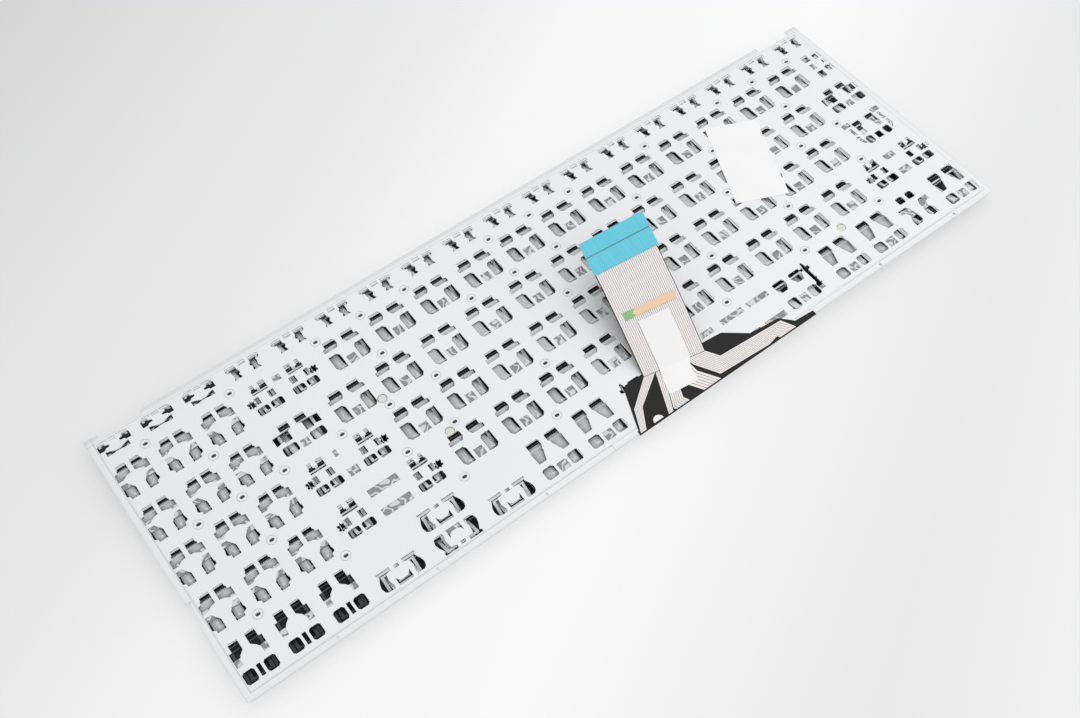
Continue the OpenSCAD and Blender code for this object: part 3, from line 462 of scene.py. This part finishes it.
def turn_out(mesh):
    """Merges doubled points and turns every face outwards."""
    work = bmesh.new()
    work.from_mesh(mesh)
    bmesh.ops.remove_doubles(work, verts=work.verts, dist=1e-7)
    bmesh.ops.recalc_face_normals(work, faces=work.faces)
    work.to_mesh(mesh)
    work.free()
    mesh.update()


def tail_point(u, across, up):
    """A point of the tail: u along it, across it, and above its lower face."""
    steps = 24
    run = 0.0
    rise = 0.0
    for i in range(steps):
        pitch = math.radians(TAIL_RISE + (TAIL_END_RISE - TAIL_RISE) * u * (i + 0.5) / steps)
        run += u * TAIL_L / steps * math.cos(pitch)
        rise += u * TAIL_L / steps * math.sin(pitch)
    pitch = math.radians(TAIL_RISE + (TAIL_END_RISE - TAIL_RISE) * u)
    roll = math.radians(TAIL_TWIST) * u
    lean = math.radians(TAIL_LEAN)
    side = across * math.cos(roll)
    y = run - up * math.sin(pitch)
    z = rise + up * math.cos(pitch) + across * math.sin(roll)
    return (LIFT[0] + side * math.cos(lean) + y * math.sin(lean),
            LIFT[1] - side * math.sin(lean) + y * math.cos(lean),
            PLATE_TOP + z)


def share(a, b, t):
    """The point that lies the share t of the way from a to b."""
    return tuple(p + (q - p) * t for p, q in zip(a, b))


class KEYBOARD_OT_plate(bpy.types.Operator):
    """Lacquers the back plate and presses a ring round each staking slot"""
    bl_idname = "keyboard_back.plate"
    bl_label = "Back plate"

    def execute(self, context):
        plate = settings().plate
        lacquer = lacquered_steel(plate.lacquer)
        dress("back_plate", lacquer)
        # The ring bead's lacquer is darker: painted shade of the pressed ring's edge
        shaded = mottled("shaded lacquer", shade(plate.lacquer, 0.78), 0.5, 300)
        # A near-black oval down in each slot: painted shade where the slot is deep
        dark = mottled("painted slot shade", (0.02, 0.02, 0.022), 0.5, 900)
        rings = stake_rings(plate.ring_radius, plate.ring_bead, shaded, dark)
        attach(rings, "base")
        return {"FINISHED"}


def stakes():
    """Where the staking slots are: the places where four keys meet."""
    digit_x0, q_x0, a_x0, z_x0 = (BLOCK_X0 + start for start, count in ROWS)

    def seam(row):
        return LETTER_Y0 + (4 - row) * ROW_PITCH + (-0.5 if row == 0 else 0.5)

    places = [((digit_x0 + n * KEY_PITCH + BLOCK_X0 + 0.2 + (n + 2) * FN_PITCH) / 2, seam(0))
              for n in (0, 1, 2, 4, 5, 6, 8, 10, 11, 12)]
    places += [(digit_x0 + n * KEY_PITCH - 0.4, seam(1)) for n in (1, 3, 4, 5, 7, 9, 11)]
    places += [(q_x0 + n * KEY_PITCH, seam(2)) for n in (0, 1, 2, 5, 9, 11, 12)]
    places += [(a_x0 + n * KEY_PITCH - 0.4, seam(3)) for n in (0, 1, 3, 7, 9, 11)]
    places += [(z_x0 + n * KEY_PITCH, seam(4)) for n in (0, 2, 6, 8, 10)]
    for row in (0, 2, 4):
        places += [(PAD_X0 + PAD_PITCH, seam(row)), (BLOCK_X0, seam(row))]
    places += [(PAD_X0 + 2 * PAD_PITCH, seam(row)) for row in (1, 2, 3)]
    return places


def stake_rings(radius, bead, material, dark):
    """Geometry Nodes: at each staking slot a low round bead on the plate, and a dark oval down in
    the slot as painted shade, where the slot is deep."""
    tree = bpy.data.node_groups.new("ring at each slot", "GeometryNodeTree")
    face = tree.interface
    face.new_socket("Geometry", in_out="INPUT", socket_type="NodeSocketGeometry")
    ring = face.new_socket("Ring radius", in_out="INPUT", socket_type="NodeSocketFloat")
    width = face.new_socket("Bead radius", in_out="INPUT", socket_type="NodeSocketFloat")
    coat = face.new_socket("Material", in_out="INPUT", socket_type="NodeSocketMaterial")
    slot_shade_socket = face.new_socket("Slot shade material", in_out="INPUT", socket_type="NodeSocketMaterial")
    face.new_socket("Geometry", in_out="OUTPUT", socket_type="NodeSocketGeometry")
    nodes = tree.nodes
    source = nodes.new("NodeGroupInput")
    circle = nodes.new("GeometryNodeCurvePrimitiveCircle")
    circle.inputs["Resolution"].default_value = 28
    profile = nodes.new("GeometryNodeCurvePrimitiveCircle")
    profile.inputs["Resolution"].default_value = 6
    sweep = nodes.new("GeometryNodeCurveToMesh")
    paint = nodes.new("GeometryNodeSetMaterial")
    # The dark oval is painted shade down in the slot
    oval = nodes.new("GeometryNodeMeshCylinder")
    oval.inputs["Vertices"].default_value = 24
    oval.inputs["Radius"].default_value = SLOT_SHADE_W / 2 * MM
    oval.inputs["Depth"].default_value = 0.1 * MM
    stretch = nodes.new("GeometryNodeTransform")
    stretch.inputs["Translation"].default_value = (0, 0, -0.33 * MM)
    stretch.inputs["Scale"].default_value = (SLOT_SHADE_L / SLOT_SHADE_W, 1, 1)
    blacken = nodes.new("GeometryNodeSetMaterial")
    both = nodes.new("GeometryNodeJoinGeometry")
    scatter = nodes.new("GeometryNodeInstanceOnPoints")
    real = nodes.new("GeometryNodeRealizeInstances")
    result = nodes.new("NodeGroupOutput")
    link = tree.links.new
    link(source.outputs["Ring radius"], circle.inputs["Radius"])
    link(source.outputs["Bead radius"], profile.inputs["Radius"])
    link(circle.outputs["Curve"], sweep.inputs["Curve"])
    link(profile.outputs["Curve"], sweep.inputs["Profile Curve"])
    link(sweep.outputs["Mesh"], paint.inputs["Geometry"])
    link(source.outputs["Material"], paint.inputs["Material"])
    link(oval.outputs["Mesh"], stretch.inputs["Geometry"])
    link(stretch.outputs["Geometry"], blacken.inputs["Geometry"])
    link(source.outputs["Slot shade material"], blacken.inputs["Material"])
    link(paint.outputs["Geometry"], both.inputs["Geometry"])
    link(blacken.outputs["Geometry"], both.inputs["Geometry"])
    link(source.outputs["Geometry"], scatter.inputs["Points"])
    link(both.outputs["Geometry"], scatter.inputs["Instance"])
    link(scatter.outputs["Instances"], real.inputs["Geometry"])
    link(real.outputs["Geometry"], result.inputs["Geometry"])
    points = mesh_from("slot places", [(x, y, PLATE_TOP) for x, y in stakes()], [])
    return grown("stake_rings", points, tree,
                 {ring.identifier: radius, width.identifier: bead, coat.identifier: material,
                  slot_shade_socket.identifier: dark})


def grown(name, mesh, tree, values):
    """Runs a Geometry Nodes tree on a mesh and keeps the result as a plain mesh."""
    seed = bpy.data.objects.new(name + "_seed", mesh)
    bpy.context.scene.collection.objects.link(seed)
    modifier = seed.modifiers.new("nodes", "NODES")
    modifier.node_group = tree
    for identifier, value in values.items():
        modifier[identifier] = value
    bpy.context.view_layer.update()
    graph = bpy.context.evaluated_depsgraph_get()
    plain = bpy.data.meshes.new_from_object(seed.evaluated_get(graph))
    bpy.data.objects.remove(seed)
    if not plain.polygons:
        raise RuntimeError(f"{name}: the node tree made no faces")
    plain.name = name
    obj = bpy.data.objects.new(name, plain)
    bpy.context.scene.collection.objects.link(obj)
    return obj


def printed_film(dark, milky):
    """Polyester that is printed dark where it lies on the plate's back. Under the plate it is
    milky with grey tracks, apart from the function row's end and the number pad's top corner."""
    mat, tree, shader = finish("printed polyester", dark, 0.42, ior=1.3)
    vector = place(tree)
    axes = parted(tree, vector)
    above = join_math(tree, "GREATER_THAN", axes["Z"], (PLATE_TOP - 0.35) * MM)
    pad = join_math(tree, "LESS_THAN", axes["X"], (BLOCK_X0 - 1.0) * MM)
    top = join_math(tree, "GREATER_THAN", axes["Y"], (LETTER_Y0 + 4.1 * ROW_PITCH) * MM)
    corner = join_math(tree, "MULTIPLY", pad, top)
    end = join_math(tree, "GREATER_THAN", axes["Y"], (LETTER_Y0 + 4.35 * ROW_PITCH) * MM)
    inked = join_math(tree, "MAXIMUM", join_math(tree, "MAXIMUM", above, corner), end)
    grey = shade(milky, 0.42)
    tracks = ramp(tree, noise(tree, vector, 210, 1.0), [
        (0.38, milky), (0.41, grey), (0.48, grey), (0.5, milky), (0.55, milky), (0.57, grey)])
    factor, first, second, result = mix_colours(tree, "MIX")
    tree.links.new(inked, factor)
    tree.links.new(tracks, first)
    second.default_value = (*dark, 1)
    tree.links.new(result, shader.inputs["Base Color"])
    fine = noise(tree, vector, 6000, 2.0)
    tree.links.new(spread(tree, fine, 0.36, 0.5), shader.inputs["Roughness"])
    bump(tree, shader, noise(tree, vector, 260), 0.25, 0.00004)
    return mat


class KEYBOARD_OT_films(bpy.types.Operator):
    """Gives the two films of the membrane their finish"""
    bl_idname = "keyboard_back.films"
    bl_label = "Films"

    def execute(self, context):
        films = settings().films
        dress("circuit_film", printed_film(films.circuit, films.milky))
        self.sights()
        dress("contact_film", mottled("milky polyester", films.milky, 0.3, 300, 0.03, 6000, 0.2))
        return {"FINISHED"}

    def sights(self):
        """The pale discs that show in the plate's three sight holes."""
        y = LETTER_Y0 + 4 * ROW_PITCH
        places = [(ROWS[0][0] + 0.5 * KEY_PITCH - 0.8, y - 1.79 * ROW_PITCH),
                  (ROWS[2][0] + 0.8 * KEY_PITCH, y - 3 * ROW_PITCH - 1.5),
                  (ROWS[3][0] + 9 * KEY_PITCH - 1, y - 4 * ROW_PITCH)]
        work = bmesh.new()
        for x, y in places:
            spot = Matrix.Translation(Vector((BLOCK_X0 + x, y, FILM_LOW + 0.4)) * MM)
            bmesh.ops.create_cone(work, cap_ends=True, segments=32, radius1=1.5 * MM,
                                  radius2=1.5 * MM, depth=0.06 * MM, matrix=spot)
        mesh = bpy.data.meshes.new("sight_discs")
        work.to_mesh(mesh)
        work.free()
        piece("sight_discs", mesh, "base", "paper_white",
              mottled("cream paper disc", (0.72, 0.7, 0.66), 0.7, 900, 0.05, 7000, 0.2))


# Groups of tracks on the flap: how many, and the rails of the group's left and right edge
# from below the tail's root to where the tracks go under the plate's edge
TRACK_GROUPS = [
    (6, [(-7.0, -46.1), (-11.0, -54.6)], [(-4.1, -47.1), (-8.6, -54.6)]),
    (4, [(4.4, -47.5), (1.2, -54.6)], [(6.6, -48.0), (3.2, -54.6)]),
    (6, [(6.7, -48.2), (3.9, -53.8), (4.4, -54.6)], [(11.0, -48.8), (9.4, -52.4), (10.4, -54.6)]),
    (6, [(13.7, -49.6), (16.8, -54.6)], [(20.1, -47.4), (24.6, -54.6)]),
    (10, [(20.6, -44.8), (25.6, -53.2), (47.0, -54.5), (51.4, -53.6), (52.0, -54.6)],
     [(27.2, -42.4), (30.4, -47.6), (57.0, -49.4), (59.6, -54.6)]),
]


def even(rail, count):
    """The rail with its bends spread to count points, so that two rails can be joined."""
    if len(rail) == count:
        return rail
    return rail[:-1] + [rail[-1]] * (count - len(rail) + 1)


class KEYBOARD_OT_tracks(bpy.types.Operator):
    """Prints the silver tracks on the tail and on the flap"""
    bl_idname = "keyboard_back.tracks"
    bl_label = "Tracks"

    def execute(self, context):
        films = settings().films
        silver = streaked("printed silver track", films.track, 0.45, 30000, 0.05)
        count = films.track_count
        up = TAIL_T + FILM_T / 2 + films.track_t / MM
        edge = -TAIL_W / 2 + TAIL_BORDER
        pitch = (TAIL_W - 2 * TAIL_BORDER) / count
        rings = 24
        reach = 1 - STIFFENER_L / TAIL_L + 0.02
        points = []
        faces = []
        for n in range(count):
            x0 = edge + (n + TRACK_GAP) * pitch
            x1 = edge + (n + 1 - TRACK_GAP) * pitch
            us = [0.002 + (reach - 0.002) * i / rings for i in range(rings + 1)]
            strip(points, faces, [(u, x0) for u in us], [(u, x1) for u in us],
                  lambda p: tail_point(p[0], p[1], up - 0.15),
                  lambda p: tail_point(p[0], p[1], up))
        mesh = mesh_from("tail_tracks", points, faces)
        turn_out(mesh)
        piece("tail_tracks", mesh, "base", "film_dark", silver)

        points = []
        faces = []
        done = 0
        level = PLATE_TOP + FILM_T
        for number, left, right in TRACK_GROUPS:
            for k in range(number):
                near = k + TRACK_GAP
                far = k + 1 - TRACK_GAP
                root_a = tail_point(0, edge + (done + near) * pitch, 0)[:2]
                root_b = tail_point(0, edge + (done + far) * pitch, 0)[:2]
                size = max(len(left), len(right))
                first = even(left, size)
                last = even(right, size)
                rail_a = [root_a] + [share(p, q, near / number) for p, q in zip(first, last)]
                rail_b = [root_b] + [share(p, q, far / number) for p, q in zip(first, last)]
                strip(points, faces, rail_a, rail_b, lambda p: (p[0], p[1], level),
                      lambda p: (p[0], p[1], level + 0.04))
            done += number
        mesh = mesh_from("flap_tracks", points, faces)
        turn_out(mesh)
        piece("flap_tracks", mesh, "base", "film_dark", silver)
        return {"FINISHED"}


class KEYBOARD_OT_tail(bpy.types.Operator):
    """Finishes the stiffener, the guard strip and the two bare labels"""
    bl_idname = "keyboard_back.tail"
    bl_label = "Stiffener and labels"

    def execute(self, context):
        films = settings().films
        dress("tail_stiffener", streaked("turquoise stiffener film", films.stiffener, 0.38, 2600,
                                         0.07))
        dress("tail_guard_strip", tape((0.84, 0.60, 0.40), (0.25, 0.52, 0.22)))
        paper = mottled("matt label paper", (0.88, 0.88, 0.88), 0.72, 120, 0.01, 9000, 0.3)
        dress("tail_label", paper)
        dress("plate_label", paper)
        self.label_foot(paper)
        self.bare_spot()
        up = TAIL_T + FILM_T / 2 + GLUE_T + STIFFENER_T
        at = 1 - 0.45 * STIFFENER_L / TAIL_L
        points = []
        faces = []
        half = TAIL_W / 2 + 0.45
        xs = [-half + 2 * half * i / 12 for i in range(13)]
        strip(points, faces, [(at, x) for x in xs], [(at - 0.007, x) for x in xs],
              lambda p: tail_point(p[0], p[1], up - 0.1),
              lambda p: tail_point(p[0], p[1], up + 0.07))
        mesh = mesh_from("stiffener_seam", points, faces)
        turn_out(mesh)
        piece("stiffener_seam", mesh, "base", "stiffener_blue",
              mottled("shaded seam of the stiffener", (0.12, 0.22, 0.27), 0.5, 400))
        return {"FINISHED"}

    def label_foot(self, paper):
        """The end of the tail's label, which runs on over the root and down on to the flap."""
        face = TAIL_T + FILM_T / 2 + GLUE_T
        level = PLATE_TOP + FILM_T + 0.06
        left = [tail_point(0.004, -5.8, face), (8.1, -43.5, level + 0.05), (6.4, -49.0, level)]
        right = [tail_point(0.004, 6.0, face), (19.2, -44.8, level + 0.05), (17.9, -50.4, level)]
        points = []
        faces = []
        strip(points, faces, left, right, lambda p: p,
              lambda p: (p[0], p[1], p[2] + LABEL_T))
        mesh = mesh_from("tail_label_foot", points, faces)
        turn_out(mesh)
        piece("tail_label_foot", mesh, "base", "paper_white", paper)

    def bare_spot(self):
        """A half-round gap in the print at the plate's front edge, where bare metal shows."""
        level = PLATE_TOP + FILM_T + 0.01
        x, y = -2.9, EDGE_Y + 0.1
        arc = [(x + 2 * math.cos(math.radians(a)), y + 2 * math.sin(math.radians(a)))
               for a in range(0, 181, 15)]
        count = len(arc)
        points = [(x, y, level) for x, y in arc] + [(x, y, level + 0.05) for x, y in arc]
        faces = [tuple(range(count)), tuple(range(count, 2 * count))]
        faces += [(i, (i + 1) % count, count + (i + 1) % count, count + i) for i in range(count)]
        mesh = mesh_from("bare_spot", points, faces)
        turn_out(mesh)
        piece("bare_spot", mesh, "base", "plate_steel",
              bpy.data.materials["satin silver lacquer"])


def key_places():
    """The middle of each key whose scissor frames have broad webs, with its kind of window."""
    places = []
    for row, (start, count) in enumerate(ROWS, 1):
        y = LETTER_Y0 + (4.5 - row) * ROW_PITCH
        places += [(BLOCK_X0 + start + (n + 0.5) * KEY_PITCH, y, "letter") for n in range(count)]
        places += [(PAD_X0 + (n + 0.5) * PAD_PITCH, y, "pad") for n in range(3)]
    y = EDGE_Y + 1.5 + BOTTOM_CELL / 2
    alt_x = BLOCK_X0 + 3 * ARROW_W
    for x in (alt_x, alt_x + 2 * KEY_PITCH + SPACE_W):
        places += [(x + (n + 0.5) * KEY_PITCH, y, "bottom") for n in (0, 1)]
    return places


def slab(x0, y0, x1, y1):
    """The outline of a straight web."""
    return [(x0, y0), (x1, y0), (x1, y1), (x0, y1)]


def both_sides(outline):
    """An outline left and right of the key's middle."""
    return [[(side * x, y) for x, y in outline] for side in (-1, 1)]


def web_outlines():
    """The outlines of the webs in the windows of each kind of key, in the key's own place."""
    t, b = PINS["letter"]
    letter = [slab(-6.9, b - 1.3, -3.6, b + 5.7)]
    letter += both_sides(slab(1.4, t - 2.0, 6.9, t + 0.5))
    letter += [slab(2.8, b - 1.3, 4.6, b + 5.7)]
    t, b = PINS["pad"]
    pad = both_sides([(2.2, b - 1.3), (4.7, b - 1.3), (5.3, b + 0.2), (5.3, b + 5.0),
                      (2.2, b + 5.0)])
    pad += both_sides(slab(1.0, t - 2.2, 6.0, t + 0.7))
    t, b = PINS["bottom"]
    bottom = both_sides([(1.4, t - 2.2), (2.7, t - 5.9), (6.4, t - 5.9), (6.4, t + 1.2),
                         (1.4, t + 1.2)])
    bottom += [slab(-7.5, b - 1.7, -3.0, b + 3.0), slab(2.8, b - 1.7, 4.9, b + 3.0)]
    return {"letter": letter, "pad": pad, "bottom": bottom}


def webs():
    """The frames' broad flat webs that fill much of each window, as one mesh of thin slabs."""
    shapes = web_outlines()
    points = []
    faces = []
    for x, y, kind in key_places():
        for outline in shapes[kind]:
            start = len(points)
            count = len(outline)
            for z in (WEB_LOW, WEB_HIGH):
                points.extend((x + p[0], y + p[1], z) for p in outline)
            faces.append([start + i for i in range(count)])
            faces.append([start + count + i for i in range(count)])
            for i in range(count):
                j = (i + 1) % count
                faces.append([start + i, start + j, start + count + j, start + count + i])
    mesh = mesh_from("webs", points, faces)
    turn_out(mesh)
    return mesh


def split_mesh(name, sources, inside):
    """A mesh of those triangles of some meshes whose middle passes the test."""
    work = bmesh.new()
    for number, source in enumerate(sources):
        part = bmesh.new()
        part.from_mesh(source)
        away = [f for f in part.faces if not inside(f.calc_center_median())]
        bmesh.ops.delete(part, geom=away, context="FACES")
        for face in part.faces:
            face.material_index = number
        scratch = bpy.data.meshes.new("scratch")
        part.to_mesh(scratch)
        part.free()
        work.from_mesh(scratch)
        bpy.data.meshes.remove(scratch)
    bmesh.ops.remove_doubles(work, verts=work.verts, dist=1e-7)
    for face in work.faces:
        face.smooth = face.material_index == 0
    mesh = bpy.data.meshes.new(name)
    work.to_mesh(mesh)
    work.free()
    return mesh


class KEYBOARD_OT_keys(bpy.types.Operator):
    """Paints the keycaps, and the frames and wires that keep their own node"""
    bl_idname = "keyboard_back.keys"
    bl_label = "Keycaps"

    def execute(self, context):
        keys = settings().keys
        cap = two_sided_cap(keys.cap, keys.underside)
        for name in NODES:
            if name.startswith("keycap_") or name == "fixed_keycaps":
                dress(name, cap)
        grey = mottled("grey moulded frame", keys.frame, 0.45, 500, 0.03, 7000, 0.25)
        for name in ("scissor_outer_g", "scissor_outer_h", "scissor_inner_g", "scissor_inner_h"):
            dress(name, grey)
        dress("dark_scissor_frames", mottled("dark moulded frame", (0.03, 0.028, 0.032), 0.42,
                                             500, 0.1, 7000, 0.3))
        wire = mottled("bright steel wire", (0.52, 0.53, 0.55), 0.25, 800, 0.05, 9000, 0.2, 1.0)
        for name in NODES:
            if name.startswith("wire_"):
                dress(name, wire)
        return {"FINISHED"}


class KEYBOARD_OT_works(bpy.types.Operator):
    """Splits the domes and frames by key, into a piece for each moving key and pieces for the
    rest
    """
    bl_idname = "keyboard_back.works"
    bl_label = "Domes and scissor frames"

    def execute(self, context):
        keys = settings().keys
        rubber = mottled("matt silicone", keys.dome, 0.6, 700, 0.03, 6000, 0.3)
        grey = bpy.data.materials["grey moulded frame"]
        pale = mottled("ribbed web", shade(keys.frame, 0.76), 0.5, 900, 0.08, 7000, 0.25)
        web = webs()
        groups = {node: NODES[node].data for node in ("rubber_domes", "scissor_outer_frames",
                                                      "scissor_inner_frames")}
        cells = {}
        for name in sorted(NODES):
            if name.startswith("keycap_"):
                low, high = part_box(name)
                key = name.removeprefix("keycap_")
                cells[key] = (low.x - MM, low.y - 0.3 * MM, high.x + MM, high.y + 0.3 * MM)

        def holds(cell, point):
            return cell[0] < point.x < cell[2] and cell[1] < point.y < cell[3]

        for key, cell in cells.items():
            mesh = split_mesh("works_" + key, [*groups.values(), web],
                              lambda p, c=cell: holds(c, p))
            works = piece("works_" + key, mesh, "base", "frame_grey", rubber, grey, grey, pale)
            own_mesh(works)

        def resting(name, source, slot, material):
            mesh = split_mesh(name, [source],
                              lambda p: not any(holds(c, p) for c in cells.values()))
            return piece(name, mesh, "base", slot, material)

        domes, outer, inner = groups.values()
        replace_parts(resting("resting_domes", domes, "silicone", rubber), "rubber_domes")
        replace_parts(resting("resting_outer_frames", outer, "frame_grey", grey),
                    "scissor_outer_frames")
        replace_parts(resting("resting_inner_frames", inner, "frame_grey", grey),
                    "scissor_inner_frames")
        resting("resting_webs", web, "frame_grey", pale)
        return {"FINISHED"}


class KEYBOARD_OT_stage(bpy.types.Operator):
    """Lays the floor, sets the lamp and the sky, and makes the camera"""
    bl_idname = "keyboard_back.stage"
    bl_label = "Stage"

    def execute(self, context):
        stage = settings().stage
        scene = context.scene
        bpy.ops.mesh.primitive_grid_add(x_subdivisions=8, y_subdivisions=8, size=6)
        floor = context.object
        floor.name = "studio_floor"
        floor.data.materials.append(floor_paint(stage.floor))
        self.lamp("soft_lamp", (0.30, -0.12, 0.66), 1.5, stage.lamp)
        world = bpy.data.worlds.new("studio sky")
        world.use_nodes = True
        sky = world.node_tree.nodes["Background"]
        sky.inputs["Color"].default_value = (1, 1, 1, 1)
        sky.inputs["Strength"].default_value = stage.sky
        scene.world = world
        camera = bpy.data.cameras.new("camera")
        camera.sensor_width = 36
        camera.lens = 41.22
        camera.clip_start = 0.01
        camera.clip_end = 20
        holder = bpy.data.objects.new("camera", camera)
        scene.collection.objects.link(holder)
        holder.location = Vector((-154.73, -191.11, 369.91)) * MM
        holder.rotation_euler = Euler([math.radians(a) for a in (31.664, 0.186, -37.032)])
        scene.camera = holder
        scene.view_settings.view_transform = "Standard"
        return {"FINISHED"}

    def lamp(self, name, at, size, power):
        """A square area lamp that faces the middle of the floor."""
        light = bpy.data.lights.new(name, "AREA")
        light.size = size
        light.energy = power
        holder = bpy.data.objects.new(name, light)
        bpy.context.scene.collection.objects.link(holder)
        holder.location = at
        holder.rotation_euler = (-Vector(at)).to_track_quat("-Z", "Y").to_euler()


class KEYBOARD_PT_panel(bpy.types.Panel):
    """Settings and steps of the keyboard in the 3D view's sidebar"""
    bl_idname = "KEYBOARD_PT_panel"
    bl_label = "Laptop keyboard"
    bl_space_type = "VIEW_3D"
    bl_region_type = "UI"
    bl_category = "Keyboard"

    def draw(self, context):
        group = context.scene.keyboard_back
        for part in (group.plate, group.films, group.keys, group.stage):
            box = self.layout.box()
            for name in part.__annotations__:
                box.prop(part, name)
        for step in STEPS:
            self.layout.operator(step.bl_idname)


class KeyboardSettings(bpy.types.PropertyGroup):
    """All settings of the keyboard"""
    plate: PointerProperty(type=PlateSettings)
    films: PointerProperty(type=FilmSettings)
    keys: PointerProperty(type=KeySettings)
    stage: PointerProperty(type=StageSettings)


STEPS = (KEYBOARD_OT_stage, KEYBOARD_OT_plate, KEYBOARD_OT_films, KEYBOARD_OT_tracks,
         KEYBOARD_OT_tail, KEYBOARD_OT_keys, KEYBOARD_OT_works)
CLASSES = (PlateSettings, FilmSettings, KeySettings, StageSettings, KeyboardSettings,
           *STEPS, KEYBOARD_PT_panel)


def register():
    for cls in CLASSES:
        bpy.utils.register_class(cls)
    bpy.types.Scene.keyboard_back = PointerProperty(type=KeyboardSettings)


def unregister():
    del bpy.types.Scene.keyboard_back
    for cls in reversed(CLASSES):
        bpy.utils.unregister_class(cls)


def main():
    register()
    for step in (bpy.ops.keyboard_back.stage, bpy.ops.keyboard_back.plate,
                 bpy.ops.keyboard_back.films, bpy.ops.keyboard_back.tracks,
                 bpy.ops.keyboard_back.tail, bpy.ops.keyboard_back.keys,
                 bpy.ops.keyboard_back.works):
        step()


if __name__ == "__main__":
    main()
